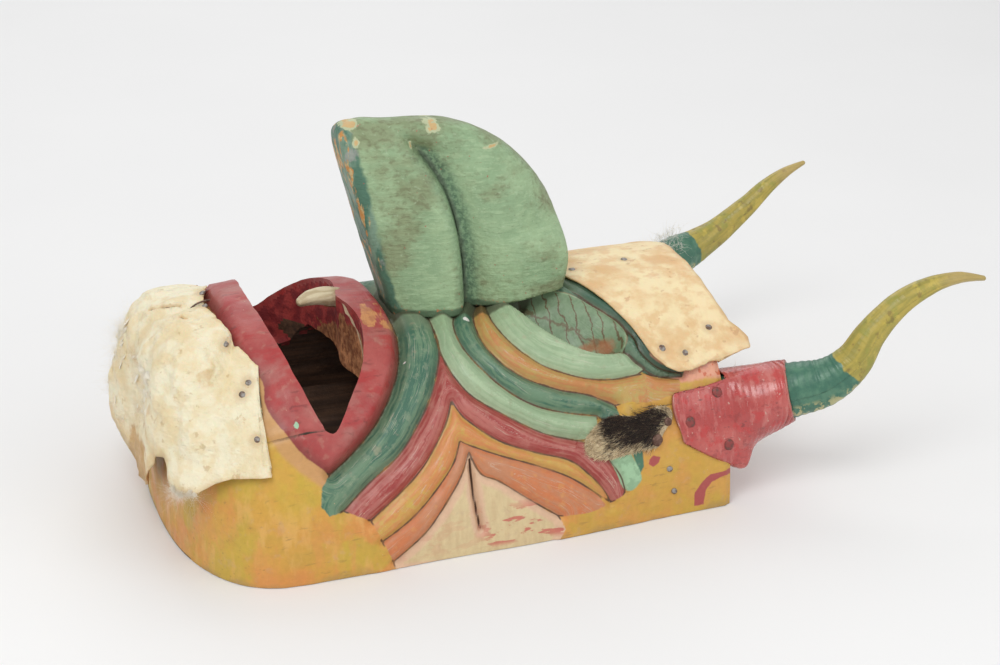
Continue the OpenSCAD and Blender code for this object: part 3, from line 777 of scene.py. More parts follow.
body = build_mask()
paint_mask(body)
place(body, [mask_paint(), bare_wood("cut_mouth_wood", LIT_BARE_WOOD, (0.28, 0.1, 0.04), True),
             # The hollow's wood is near black: old darkened wood, made darker still as painted shade inside
             # the hollow.
             bare_wood("hollowed_wood", (0.13, 0.065, 0.034), (0.06, 0.03, 0.017)),
             bare_wood("end_grain", (0.5, 0.28, 0.11), (0.3, 0.15, 0.06), False, (1, 16, 1))],
      "painted_wood", "mask_body")

# ---------------------------------------------------------------- the nose

NOSE_OUTLINE = smooth_curve([(208, 150), (203, 176), (190, 222), (177, 272), (166, 318), (168, 334),
                             (185, 340), (210, 337), (238, 335), (268, 330), (299, 317), (326, 296),
                             (348, 269), (362, 240), (366, 208), (361, 180), (353, 150)], 14)
CREASE = smooth_curve([(208, 336), (223, 323), (240, 303), (254, 278), (263, 248), (268, 218), (270, 190),
                       (271, 158)], 8)
NOSE_CHIPS = [(246, 330, 6, 3.6), (176, 337, 6, 2.4), (177, 325, 3, 3), (227, 316, 1.6, 2.4),
              (300, 309, 8, 1.3)]


def build_nose():
    count = 330
    outline = even_loop(NOSE_OUTLINE, count)
    middle = np.array([272, 226.0])
    front = np.interp(outline[:, 0], [160, 215, 260], [1, 1, 0]) * (outline[:, 1] < 332)
    blur = np.ones(15) / 15
    front += 1.9 * ease(236, 190, outline[:, 1]) * ease(205, 250, outline[:, 0])
    front = np.convolve(np.concatenate([front[-7:], front, front[:7]]), blur, "valid")
    power = 2.3 + 4.2 * front
    turns = np.linspace(-89.4, 89.4, 151)
    rings = []
    for turn in np.radians(turns):
        size = (np.cos(turn) ** power + np.abs(np.sin(turn)) ** power) ** (-1 / power)
        xz = middle + (outline - middle) * (size * np.cos(turn))[:, None]
        rings.append(np.column_stack([xz[:, 0], size * np.sin(turn) * nose_half(xz[:, 0]), xz[:, 1]]))
    points = np.concatenate(rings)
    side = np.sign(points[:, 1])
    q = points[:, [0, 2]]
    off = curve_distance(q, CREASE)
    crease_x = np.interp(-q[:, 1], -CREASE[:, 1], CREASE[:, 0])
    behind = q[:, 0] > crease_x
    strength = ease(340, 306, q[:, 1]) * ease(0.25, 0.75, np.abs(points[:, 1]) / nose_half(q[:, 0]))
    fall = np.where(behind, np.exp(-(np.maximum(0, off - 3) / 19) ** 1.4), np.exp(-(off / 3.5) ** 1.2))
    points[:, 1] -= side * 18 * strength * fall
    facet = np.where(behind, 0, ease(17, 5, off)) * strength
    points[:, 1] -= side * 2.2 * facet
    lobe = np.where(behind, 3.5 * np.exp(-(((q[:, 0] - 305) / 40) ** 2 + ((q[:, 1] - 235) / 55) ** 2)), 0)
    points[:, 1] += side * lobe * np.abs(points[:, 1]) / 40
    seat = 11 * ease(260, 350, points[:, 0]) * ease(20, 38, np.abs(points[:, 1])) - 5
    points[:, 2] = np.maximum(points[:, 2], face_z(points[:, 0], points[:, 1]) + seat)
    out = points - (middle[0], 0, middle[1])
    out /= np.linalg.norm(out, axis=1)[:, None]
    wobble = 1.3 * noise3(points, 48, 61, 3) + 0.35 * noise3(points * (0.4, 1, 1), 7, 62, 2)
    points += out * wobble[:, None]
    nose = make_mesh("carved_nose", points, closed_faces(len(turns), count))
    edge_x = np.interp(q[:, 1], [150, 170, 206, 248, 290, 321, 340], [217, 212, 201, 192, 184, 176, 172])
    set_values(nose, crease=off + 40 * (1 - strength), behind=behind * np.minimum(1, off / 8),
               front=q[:, 0] - edge_x, foot=points[:, 2] - face_z(points[:, 0], points[:, 1]))
    for i, (x, z, wide, tall) in enumerate(NOSE_CHIPS):
        gap = np.hypot((q[:, 0] - x) / wide, (q[:, 1] - z) / tall)
        set_values(nose, **{f"chip_{i}": gap + 9 * (points[:, 1] > 8)})
    return nose


def nose_paint():
    m = Paint("nose_paint")
    ragged = (m.noise(9, 6) - 0.5) * 2.0
    grain = m.noise(5, 8, (3.2, 1, 0.6), shift=3)
    foot = m.value("foot")
    colour = m.blotch((0.35, 0.5, 0.29), (0.28, 0.42, 0.24), 40, 0.38, 0.64, detail=4)
    colour = m.mix(m.ramp(grain, 0.5, 0.62) * 0.4, colour, (0.44, 0.6, 0.36))
    wash = m.noise(46, 6, (1.4, 1, 0.9), shift=6) + m.value("behind") * 0.03
    wash = wash + (foot - 90.0) * 0.0009
    colour = m.mix(m.ramp(wash, 0.47, 0.62) * 0.6, colour, (0.22, 0.23, 0.115))
    scrubbed = m.ramp(m.noise(4, 9, (1.6, 1, 0.9), shift=16), 0.48, 0.64) * m.ramp(wash, 0.4, 0.58)
    colour = m.mix(scrubbed * 0.45, colour, (0.15, 0.14, 0.065))
    colour = m.blotch(colour, (0.11, 0.13, 0.065), 2.4, 0.62, 0.72, 0.4, (3, 1, 0.7), 46, 6)
    colour = m.blotch(colour, (0.46, 0.6, 0.4), 3, 0.6, 0.7, 0.4, (1.4, 1, 1), 56, 7)
    crease = m.value("crease") + ragged * 2.5
    # Darker green down the wide valley behind the crease and near black in the crease itself: painted shade.
    trough_shade = m.ramp(crease, 16, 5) * m.ramp(m.value("behind"), 0.0, 0.5, 0.35, 0.75)
    colour = m.mix(trough_shade, colour, m.blotch((0.05, 0.13, 0.08), (0.2, 0.34, 0.2), 3, 0.42, 0.6, detail=8))
    colour = m.mix(m.ramp(crease, 4.5, 0.5) * 0.8, colour, (0.035, 0.06, 0.035))
    strip = m.ramp(m.value("front") + ragged * 4.0, 2.5, -1.5)
    dark = m.blotch((0.06, 0.17, 0.12), (0.2, 0.32, 0.24), 16, 0.45, 0.6, stretch=(1, 1, 3), shift=22,
                    detail=6)
    dark = m.blotch(dark, (0.42, 0.36, 0.38), 12, 0.58, 0.64, 0.5, (1, 1, 2), 62)
    colour = m.mix(strip * 0.92, colour, dark)
    flakes = m.ramp(m.noise(12, 7, (0.6, 0.7, 3), shift=28), 0.54, 0.57)
    chipped = m.ramp(m.value("front") + ragged * 4.0, -3, -6) * flakes
    colour = m.mix(chipped, colour, m.blotch((0.6, 0.27, 0.07), (0.62, 0.48, 0.24), 5, 0.45, 0.6, detail=3))
    for i in range(len(NOSE_CHIPS)):
        rim = m.value(f"chip_{i}") + (m.noise(9, 8) - 0.5) * 3.0
        colour = m.mix(m.ramp(rim, 1.35, 1.1), colour, (0.5, 0.55, 0.34))
        colour = m.mix(m.ramp(rim, 0.85, 0.6) * 0.8, colour, (0.66, 0.4, 0.16))
    low = foot + ragged * 1.5
    colour = m.mix(m.ramp(low, 3.5, 0.5) * 0.8, colour, (0.06, 0.11, 0.06))
    colour = m.mix(m.ramp(m.noise(5, 4, shift=33), 0.62, 0.66) * m.ramp(low, 5, 1), colour,
                   (0.5, 0.2, 0.09))
    colour = m.blotch(colour, (0.45, 0.06, 0.05), 4, 0.735, 0.75, 0.8, shift=38, detail=2)
    colour = m.mix(0.6, colour, m.mix(m.noise(3.4, 8, shift=42), (0.68, 0.66, 0.6), (1.05, 1.05, 1.05)),
                   "MULTIPLY")
    height_mix = grain * 0.9 + m.noise(3, 6) * 0.5
    rough = m.ramp(m.noise(18, 4, shift=52), 0.35, 0.7, 0.42, 0.66)
    return m.finish(colour, rough, height_mix, 1.0)


place(build_nose(), nose_paint(), "nose_wood", "nose")

# ---------------------------------------------------------------- rawhide

def across(grid):
    """Unit normals of a grid of points."""
    out = np.cross(np.gradient(grid, axis=0), np.gradient(grid, axis=1))
    return out / np.maximum(1e-9, np.linalg.norm(out, axis=2))[..., None]


def slab(name, grid, thick):
    """A closed sheet of even thickness about a grid of points."""
    rows, cols, _ = grid.shape
    half = across(grid) * thick / 2
    points = np.concatenate([(grid + half).reshape(-1, 3), (grid - half).reshape(-1, 3)])
    size = rows * cols
    faces = grid_faces(rows, cols) + [tuple(size + k for k in reversed(f)) for f in grid_faces(rows, cols)]
    index = np.arange(size).reshape(rows, cols)
    rim = np.concatenate([index[0], index[1:, -1], index[-1, -2::-1], index[-2:0:-1, 0]]).tolist()
    faces += [(a, size + a, size + b, b) for a, b in zip(rim, rim[1:] + rim[:1])]
    return make_mesh(name, points, faces)


def grid_area(grid):
    a = np.cross(grid[1:, :-1] - grid[:-1, :-1], grid[:-1, 1:] - grid[:-1, :-1])
    b = np.cross(grid[1:, :-1] - grid[1:, 1:], grid[:-1, 1:] - grid[1:, 1:])
    return float((np.linalg.norm(a, axis=2) + np.linalg.norm(b, axis=2)).sum() / 2)


def lift_off(grid, amount):
    """Moves a sheet's grid off the block by amount."""
    out = across(grid)
    away = np.sign(((grid - (200, 0, 60)) * out).sum())
    return grid + away * out * amount[..., None]


def hide_paint(name, light, stain, deep, edge, relief_mm):
    m = Paint(name)
    ragged = (m.noise(12, 5) - 0.5) * 9.0
    colour = m.blotch(light, stain, 46, 0.42, 0.66, shift=1, detail=7)
    colour = m.blotch(colour, stain, 15, 0.46, 0.64, 0.65, shift=7, detail=8)
    colour = m.blotch(colour, deep, 24, 0.62, 0.72, 0.55, shift=13)
    rim = m.ramp(m.value("edge") + ragged, 5, 0)
    colour = m.mix(rim * 0.6, colour, edge)
    nails = m.ramp(m.value("nail") + m.noise(5, 4) * 3, 11, 5)
    colour = m.mix(nails * 0.35, colour, (0.5, 0.3, 0.14))
    colour = m.blotch(colour, tuple(0.82 * c for c in deep), 9, 0.62, 0.68, 0.5, shift=29, detail=6)
    # Torn slits: brown torn edges, and a near black line down the middle painted as the shade inside the
    # slit.
    tear = m.value("tear") + m.noise(4, 3) * 0.8
    colour = m.mix(m.ramp(tear, 3.4, 1.6) * 0.6, colour, (0.55, 0.35, 0.15))
    colour = m.mix(m.ramp(tear, 1.5, 0.9), colour, (0.12, 0.06, 0.03))
    flap = m.value("flap") + (m.noise(10, 5) - 0.5) * 0.9
    colour = m.mix(m.ramp(flap, 0.35, 0.7), colour, m.mix(m.noise(6, 4), (0.46, 0.25, 0.08),
                                                          (0.74, 0.52, 0.27)))
    pores = m.noise(2.2, 3, shift=19)
    height_mix = m.noise(22, 7, (1, 1, 0.7), shift=23) * 5.0 + pores * 0.4
    rough = m.ramp(m.noise(20, 3), 0.3, 0.7, 0.45, 0.65)
    return m.finish(colour, rough, height_mix, relief_mm, Subsurface_Weight=0.12, Subsurface_Scale=0.004)


BOX_BEND, BOX_SAG = 4.0, 3.6
HIDE_TURN = 77.5
# How far back the chin's hide reaches, against the distance from the middle to the near side
BACK_ASIDE = [-150, -110, -60, -10, 10, 24, 45, 50, 62, 78, 93, 103, 112, 150]
BACK_X = [63, 66, 62, 50, 47, 50, 52, 55, 58, 65, 71, 69, 64, 63]


def chin_point(turn, p, grow, box):
    """A point over the chin, grown out by grow: turn is its plan direction from straight ahead, near side
    positive, and p how far out it is, from 0 on the crest to 1 on the rim. With box at 0 it follows the
    chin, and with box at 1 it stands square over it."""
    c = np.sign(np.cos(turn)) * np.abs(np.cos(turn)) ** (2 / PLAN_N)
    s = np.sign(np.sin(turn)) * np.abs(np.sin(turn)) ** (2 / PLAN_N)
    x = CHIN_X - (CHIN_ROUND + grow) * p * c
    y = -(RIM_HALF + grow) * p * s
    bend, sag = ARCH_Y + BOX_BEND * box, ARCH_Z + BOX_SAG * box
    z = (CHIN_H + 3 + 0.2 * grow) * np.maximum(0, 1 - p ** bend) ** (1 / sag)
    return np.stack([x, y, z], -1)


HIDE_TEARS = [np.array([(4, 22), (14, 12), (26, 6)], float), np.array([(22, -20), (25, -24)], float)]


def beard_grid():
    rows, cols = 130, 250
    turn = np.radians(np.linspace(HIDE_TURN, -HIDE_TURN, cols))
    deg = np.degrees(turn)
    foot_z = np.interp(deg, [-78, -60, -38, -20, -12, -6, -2, 2, 6, 10, 13, 16, 20, 25, 28, 31, 42, 50, 58,
                             78], [92, 86, 82, 72, 62, 48, 36, 36, 44, 52, 62, 78, 94, 98, 88, 75, 80, 88,
                                   94, 96])
    wave = np.column_stack([deg * 2.2, deg * 0, deg * 0])
    foot_z = foot_z + 2.2 * noise3(wave, 26, 71, 3)
    box = ease(50, 15, deg) * ease(-60, -10, deg)
    p_low = (1 - (foot_z / (CHIN_H + 6)) ** (ARCH_Z + BOX_SAG * box)) ** (1 / (ARCH_Y + BOX_BEND * box))
    c = np.abs(np.cos(turn)) ** (2 / PLAN_N)
    slope = np.sign(turn) * np.abs(np.sin(turn)) ** (2 / PLAN_N) / c * RIM_HALF / CHIN_ROUND
    back_x = np.full(cols, 58.0)
    for _ in range(30):
        aside = (CHIN_X - back_x) * slope
        back_x = 0.5 * back_x + 0.5 * np.interp(aside, BACK_ASIDE, BACK_X)
    back_x = back_x + 1.2 * noise3(wave + (0, 9, 0), 14, 72, 3)
    p_top = np.minimum((CHIN_X - back_x) / (CHIN_ROUND * c), p_low - 0.02)
    t = np.linspace(0, 1, rows)[:, None]
    z_low, z_top = np.arcsin(p_low), np.arcsin(np.minimum(1, p_top))
    p = np.sin(z_low + (z_top - z_low) * t)
    ahead = 1 - ease(-6, 66, CHIN_X - CHIN_ROUND * p * c)
    grow = 3.5 + 12 * ahead
    grid = chin_point(turn[None, :] + 0 * t, p, grow, box[None, :])
    flat = grid.reshape(-1, 3)
    folds = 5.5 * noise3(flat * (1, 1, 0.6), 44, 73, 3) + 2.6 * noise3(flat, 17, 74, 3)
    folds += 1.6 * (0.5 - np.abs(noise3(flat * (1.3, 1, 0.7), 24, 76, 2)) * 2).clip(-0.4, 0.5)
    folds = folds.reshape(rows, cols) * (0.45 + ahead)
    for tear in HIDE_TEARS:
        gap = curve_distance(flat[:, :2], tear).reshape(rows, cols) + 40 * (grid[..., 2] < 150)
        folds = folds - 1.6 * np.exp(-(gap / 1.4) ** 2) + 1.3 * np.exp(-((gap - 3.5) / 1.8) ** 2)
    low_curl = 7 * np.exp(-((t * 110) / 12) ** 2) * ease(70, 10, np.abs(deg))[None, :]
    low_curl = low_curl - 16 * np.exp(-((deg - 2) / 10) ** 2)[None, :] * ease(0.42, 0, t)
    corner = 4 * np.exp(-(((deg[None, :] - 76) / 9) ** 2 + (t * 110 / 16) ** 2))
    back_lift = 2.2 * np.exp(-((1 - t) * 110 / 8) ** 2) * (0.5 + noise3(wave + (0, 0, 5), 24, 75, 2))
    return lift_off(grid, folds + low_curl + corner + back_lift)


def edge_reach(grid, row_step, col_step):
    """How far each point of both faces of a sheet is from its edge."""
    rows, cols = grid.shape[:2]
    i, k = np.mgrid[0:rows, 0:cols]
    reach = np.minimum(np.minimum(i, rows - 1 - i) * row_step, np.minimum(k, cols - 1 - k) * col_step)
    return np.tile(reach.reshape(-1), 2)


def near_nails(points, nails):
    """How far each point of both faces of a sheet is from a nail."""
    return np.tile(np.min([np.linalg.norm(points - nail, axis=1) for nail in nails], 0), 2)


def nail_on(grid_points, x, y):
    """The sheet's point nearest to a plan position."""
    gap = np.hypot(grid_points[:, 0] - x, grid_points[:, 1] - y) - 0.05 * grid_points[:, 2]
    return grid_points[np.argmin(gap)]


def forehead_grid():
    rows, cols = 110, 190
    s = np.linspace(150, -150, cols)
    front = np.interp(np.abs(s), [0, 20, 50, 80, 110, 132, 144, 150],
                      [366, 372, 384, 393, 403, 411, 419, 428])
    back = np.interp(s, [-150, -100, -20, 60, 104, 112, 122, 137, 146, 150],
                     [486, 494, 490, 486, 492, 500, 506, 504, 490, 474])
    wave = np.column_stack([s, 0 * s, 0 * s])
    front = front + 2.0 * noise3(wave, 30, 81, 3)
    back = back + 3.0 * noise3(wave + 40, 34, 82, 3)
    t = np.linspace(0, 1, rows)[:, None]
    x = front + (back - front) * t
    low = 4.0 * noise3(np.column_stack([x.mean(1), 0 * t[:, 0], 0 * t[:, 0]]), 22, 83, 2)[:, None]
    pull = low / 150 - 0.075 * ease(425, 500, x)
    s = s[None, :] * (1 + pull * ease(100, 150, np.abs(s))[None, :])
    turn = np.interp(np.abs(s), ARC_S[::-1], ARC_TURN[::-1])
    y_over = np.cos(turn)
    z_over = np.sin(turn)
    w, h = half_w(np.minimum(x, END_X)), height(x)
    r = ((np.abs(y_over)) ** ARCH_Y + z_over ** ARCH_Z) ** (-1 / ARCH_MEAN)
    grid = np.stack([x + 0 * s, -np.sign(s) * w * y_over * r, h * z_over * r], -1)
    flat = grid.reshape(-1, 3)
    folds = (1.1 * noise3(flat, 50, 84, 3) + 0.4 * noise3(flat, 14, 85, 2)).reshape(rows, cols)
    over = np.maximum(0, x - END_X)
    front_lift = 2.5 * np.exp(-(t * 100 / 9) ** 2) * ease(20, 90, np.abs(s))
    low_lift = 3.0 * ease(132, 152, np.abs(s)) * (0.6 + 0.6 * np.sin(t * 7))
    grid = lift_off(grid, 2.6 + folds + front_lift + low_lift)
    grid[..., 2] -= 0.006 * over ** 2
    return grid


beard = beard_grid()
beard_points = beard.reshape(-1, 3)
BEARD_NAILS = [nail_on(beard_points, x, y) for x, y in (
    (48, -7), (49, -64), (59, -99), (52, -104), (56, -134), (50, 24), (54, 70), (60, 104), (58, 136))]
hide_1 = slab("chin_rawhide", beard, 1.5)
tear = np.min([curve_distance(beard_points[:, :2], line) for line in HIDE_TEARS], 0)
tear += 40 * (beard_points[:, 2] < 150)
flap = ease(92, 62, beard_points[:, 2])
flap *= ease(-75, -52, beard_points[:, 1]) * ease(45, 20, beard_points[:, 1])
set_values(hide_1, edge=edge_reach(beard, 1.1, 1.4), nail=near_nails(beard_points, BEARD_NAILS),
           tear=np.tile(tear, 2), flap=np.tile(flap, 2))
place(hide_1, hide_paint("chin_rawhide", (0.87, 0.79, 0.58), (0.78, 0.63, 0.37), (0.64, 0.43, 0.19),
                         (0.7, 0.5, 0.25), 1.3), "rawhide", "beard_hide")
grid_area(beard) * MM * MM

crown = forehead_grid()
crown_points = crown.reshape(-1, 3)
CROWN_NAILS = [nail_on(crown_points, x, y) for x, y in (
    (381, -2), (435, 5), (471, -101), (422, -112), (442, -116), (430, 108), (470, 104))]
hide_2 = slab("forehead_rawhide", crown, 1.4)
untorn = np.zeros(2 * len(crown_points))
set_values(hide_2, edge=edge_reach(crown, 0.95, 1.6), nail=near_nails(crown_points, CROWN_NAILS),
           tear=untorn + 40, flap=untorn)
place(hide_2, hide_paint("forehead_rawhide", (0.87, 0.71, 0.43), (0.72, 0.46, 0.22), (0.66, 0.36, 0.18),
                         (0.56, 0.36, 0.17), 0.35), "rawhide", "forehead_hide")
grid_area(crown) * MM * MM

# ---------------------------------------------------------------- horns and their leather cuffs

HORN_R = 27
HORN_SIZES = [1, 0.94, 0.86, 0.72, 0.58, 0.46, 0.37, 0.28, 0.18, 0.08]
HORN_ROOT = [(474, 120, 77), (500, 132, 86), (530, 147, 97), (558, 160, 107)]
HORN_TAILS = {"right": [(578, 168, 126), (594, 170, 152), (620, 171, 177), (649, 171, 189), (678, 170, 192),
                        (704, 168, 187)],
              "left": [(584, 168, 113), (611, 171, 125), (640, 171, 146), (664, 171, 166), (684, 170, 179),
                       (702, 168, 187)]}


def sweep(path, radii, around, shape):
    """Rings round a path. shape(i, turn) scales the radius at ring i."""
    rings = []
    up = np.array([0, 0, 1.0])
    turn = np.linspace(0, 2 * np.pi, around, endpoint=False)
    for i in range(len(path)):
        way = path[min(i + 1, len(path) - 1)] - path[max(i - 1, 0)]
        way /= np.linalg.norm(way)
        side = np.cross(way, up)
        side /= np.linalg.norm(side)
        rise = np.cross(side, way)
        r = radii[i] * shape(i, turn)
        rings.append(path[i] + r[:, None] * (np.cos(turn)[:, None] * side + np.sin(turn)[:, None] * rise))
    return np.concatenate(rings)


def build_horn(side, sign):
    path = smooth_curve([(x, y * sign, z) for x, y, z in HORN_ROOT + HORN_TAILS[side]], 34)
    sizes = smooth_curve([(r,) for r in HORN_SIZES], 34)[:, 0] * HORN_R
    run = run_of(path)
    around = 96

    def shape(i, turn):
        along = i / (len(path) - 1)
        keel = 0.10 * np.exp(-(((turn - 1.2 * along - 5.0) + np.pi) % (2 * np.pi) - np.pi) ** 2 / 0.12)
        ring = 0.012 * np.sin(run[i] / 1.15 + 0.5 * np.sin(turn)) * ease(150, 90, run[i])
        return 1 + keel * ease(60, 130, run[i]) - 0.05 * np.cos(2 * turn - 2 * along) + ring

    points = sweep(path, sizes, around, shape)
    points += 0.5 * noise3(points, 22, 91, 3)[:, None] * np.array([0.3, 1, 1])
    count = len(path)
    beyond = (path[-1] - path[-2]) / np.linalg.norm(path[-1] - path[-2]) * sizes[-1] * 0.8
    rings = [points]
    for shrink, out in ((0.75, 0.45), (0.4, 0.85)):
        rings.append(path[-1] + (points[-around:] - path[-1]) * shrink + beyond * out)
    horn = make_mesh(f"horn_with_paint_{side}", np.concatenate(rings), closed_faces(count + 2, around))
    tip = np.zeros(2 * around)
    set_values(horn, along=np.concatenate([np.repeat(run, around), tip + run[-1]]),
               turn=np.concatenate([np.tile(np.linspace(0, 1, around), count), tip]),
               under=np.concatenate([points[:, 2] - np.repeat(path[:, 2], around), tip]))
    return horn


def horn_paint():
    m = Paint("painted_horn")
    along = m.value("along")
    ragged = (m.noise(10, 5) - 0.5) * 9.0
    streak = m.noise_at(m.value("turn") * 16.0, along * 0.035, m.noise(60, 1), 5)
    olive = m.mix(m.ramp(streak, 0.4, 0.62), (0.47, 0.37, 0.075), (0.34, 0.29, 0.06))
    olive = m.blotch(olive, (0.3, 0.3, 0.055), 17, 0.52, 0.64, 0.7, shift=4)
    olive = m.blotch(olive, (0.6, 0.47, 0.09), 12, 0.56, 0.64, 0.6, shift=9)
    olive = m.blotch(olive, (0.2, 0.13, 0.04), 9, 0.58, 0.68, 0.6, shift=15, detail=6)
    tip = m.ramp(along + ragged, 222, 250)
    olive = m.mix(tip * 0.6, olive, (0.5, 0.36, 0.15))
    green = m.blotch((0.05, 0.16, 0.105), (0.09, 0.22, 0.14), 10, 0.42, 0.62, shift=21)
    flaked = m.ramp(m.value("under"), -4, -12) * m.ramp(m.noise(7, 6, shift=27), 0.5, 0.54)
    green = m.mix(flaked * 0.9, green, (0.5, 0.46, 0.22))
    colour = m.mix(m.ramp(along + ragged, 119, 121), green, olive)
    rings = m.noise_at(along * 0.24, m.value("turn") * 1.2, 0.0, 2)
    colour = m.mix(0.4, colour, m.mix(rings, (0.7, 0.7, 0.7), (1, 1, 1)), "MULTIPLY")
    height_mix = rings * 0.8 + streak * 0.5
    height_mix = height_mix + m.noise(3, 4) * 0.2
    rough = m.ramp(m.noise(14, 3, shift=31), 0.35, 0.7, 0.28, 0.5)
    return m.finish(colour, rough, height_mix, 1.0)


def cuff_grid(sign):
    """The leather from its edge on the block's side, over the gap, to where it closes round the horn."""
    rows, cols = 150, 220
    goal = np.array([530, 147, 97.0])
    way = np.array([58, 29, 15.0])
    way /= np.linalg.norm(way)
    side = np.cross(way, (0, 0, 1))
    side /= np.linalg.norm(side)
    rise = np.cross(side, way)
    turn = np.linspace(-np.pi, np.pi, cols)
    t = np.linspace(0, 1, rows)[:, None]
    flap = ease(1.35, 0.95, np.abs(turn - 0.05))
    start = 475 - 52 * flap
    start = start - flap * 3 * np.sin(turn * 2.2 + 0.6)
    out_y, up_z = np.cos(turn), np.sin(turn)
    radius = HORN_R * 0.86 + 2.6
    ring_end = goal + radius * (up_z[:, None] * rise - out_y[:, None] * side)
    x = start + (474 - start) * np.minimum(1, t / 0.42)
    low = 64 - 30 * ease(416, 476, x) ** 0.8
    z_side = low + (110 - low) * np.clip(0.5 + turn / 2.5, -0.08, 1)
    on_block_y = half_w(x) * np.maximum(0, 1 - (z_side / height(x)) ** ARCH_Z) ** (1 / ARCH_Y) + 2.4
    oval = np.stack([np.full(cols, 476.0), 121 + 37 * out_y, 71 + 40 * up_z], -1)
    flat = np.stack([x, on_block_y, z_side + 0 * x], -1)
    near = flat * flap[None, :, None] + oval[None] * (1 - flap[None, :, None])
    near[..., 0] = x * flap + oval[None, :, 0] * (1 - flap)
    along = np.clip((t[..., None] - 0.36) / 0.64, 0, 1)
    straight = oval[None] * (1 - along) + ring_end[None] * along
    leave = ease(0.3, 0.62, t)[..., None]
    grid = near * (1 - leave) + straight * leave
    corner = np.exp(-((turn[None, :] + 1.05) / 0.2) ** 2 - ((grid[..., 0] - 484) / 9) ** 2)
    grid = grid + corner[..., None] * np.array([2, 8, -10.0])
    ribbed = 0.15 + 0.85 * np.maximum(ease(505, 522, grid[..., 0]), 0.5 * ease(436, 426, grid[..., 0]))
    ribs = 0.75 * ribbed * np.sin(grid[..., 0] / 0.75 + 1.6 * np.sin(turn * 3)[None, :])
    flat_points = grid.reshape(-1, 3)
    ribs = ribs + 0.9 * noise3(flat_points, 24, 101, 3).reshape(rows, cols)
    outward = np.stack([0 * grid[..., 0], out_y + 0 * t, up_z + 0 * t], -1)
    grid = grid + outward * ribs[..., None]
    grid[..., 1] *= sign
    return grid


def leather_paint():
    m = Paint("red_leather")
    colour = m.blotch((0.42, 0.055, 0.05), (0.5, 0.1, 0.085), 26, 0.4, 0.64)
    colour = m.blotch(colour, (0.6, 0.22, 0.19), 7, 0.54, 0.64, 0.4, (0.8, 2.4, 3), 5)
    colour = m.blotch(colour, (0.3, 0.035, 0.032), 9, 0.56, 0.64, 0.6, shift=11, detail=6)
    colour = m.blotch(colour, (0.5, 0.025, 0.025), 13, 0.55, 0.62, 0.6, (1, 2, 1), 13, 6)
    edge = m.ramp(m.value("edge") + m.noise(6, 4) * 5, 5.0, 2.2)
    colour = m.mix(edge * 0.55, colour, (0.4, 0.19, 0.14))
    colour = m.blotch(colour, (0.64, 0.44, 0.36), 4, 0.66, 0.7, 0.6, shift=17)
    colour = m.blotch(colour, (0.12, 0.02, 0.018), 3, 0.64, 0.7, 0.6, (3, 1, 1), 27)
    height_mix = m.noise(9, 5, (0.8, 2, 2), shift=5) + m.noise(2.5, 4) * 0.3
    rough = m.ramp(m.noise(10, 4, shift=23), 0.35, 0.68, 0.2, 0.42)
    return m.finish(colour, rough, height_mix, 1.0, Coat_Weight=0.6, Coat_Roughness=0.16)


def painted_nail():
    """The paint of the nail heads that were painted over with the leather."""
    m = Paint("painted_nail")
    colour = m.blotch((0.26, 0.045, 0.04), (0.12, 0.05, 0.04), 3, 0.45, 0.6, detail=4)
    return m.finish(colour, m.ramp(m.noise(3, 3, shift=4), 0.3, 0.7, 0.3, 0.5), m.noise(1.5, 3), 0.3)


# ---------------------------------------------------------------- tacks, nails and small pieces

def dome(centre, out, r, high, seed):
    """One hammered nail head: a low dome with a rolled edge, set on its surface."""
    out = np.array(out, float) / np.linalg.norm(out)
    side = np.cross(out, (0.3, 0.2, 1))
    side /= np.linalg.norm(side)
    rise = np.cross(out, side)
    around = 28
    turn = np.linspace(0, 2 * np.pi, around, endpoint=False)
    rings = []
    wobble = r * (1 + 0.05 * np.sin(2 * turn + seed) + 0.03 * np.sin(5 * turn + 2 * seed))
    disc = (wobble * np.cos(turn))[:, None] * side + (wobble * np.sin(turn))[:, None] * rise
    for f, lift in ((1.0, -1.2), (1.03, 0.0), (1.0, 0.28), (0.93, 0.5), (0.8, 0.72), (0.6, 0.88),
                    (0.35, 0.97), (0.12, 1.0)):
        dent = 0.12 * high * np.sin(3 * f * r + turn * 2 + seed * 3) * (lift > 0.4)
        rings.append(centre + f * disc + out * (dent[:, None] + (lift * high if lift > 0 else lift)))
    return np.concatenate(rings), closed_faces(len(rings), around)


def gather(name, parts):
    points, faces, size = [], [], 0
    for p, f in parts:
        points.append(p)
        faces += [tuple(size + k for k in face) for face in f]
        size += len(p)
    return make_mesh(name, np.concatenate(points), faces)


def iron_paint(name, metal, rust):
    m = Paint(name)
    spots = m.ramp(m.noise(4, 5, shift=2), 0.42, 0.6)
    colour = m.mix(spots, metal, rust)
    rough = m.ramp(m.noise(3, 4, shift=6), 0.3, 0.7, 0.35, 0.7)
    return m.finish(colour, rough, m.noise(1.2, 4), 0.3, Metallic=0.55)


def block_normal(x, y):
    e = 0.5
    n = np.array([face_z(x - e, y) - face_z(x + e, y), face_z(x, y - e) - face_z(x, y + e), 2 * e])
    return n / np.linalg.norm(n)


IRON = iron_paint("tack_iron", (0.34, 0.32, 0.3), (0.16, 0.1, 0.07))
RUSTY = iron_paint("rusty_iron", (0.2, 0.12, 0.09), (0.11, 0.055, 0.04))

for name, nails, lift, r, node in (("chin_nails", BEARD_NAILS, 0.6, 2.7, "beard_tacks"),
                                   ("forehead_nails", CROWN_NAILS, 0.5, 2.9, "forehead_tacks")):
    heads = []
    for i, nail in enumerate(nails):
        n = block_normal(nail[0] + 2, float(np.clip(nail[1], -150, 150)))
        heads.append(dome(nail + n * lift, n, r * (1 + 0.12 * math.sin(3 * i)), 1.3, i))
    place(gather(name, heads), IRON, "tack_iron", node)

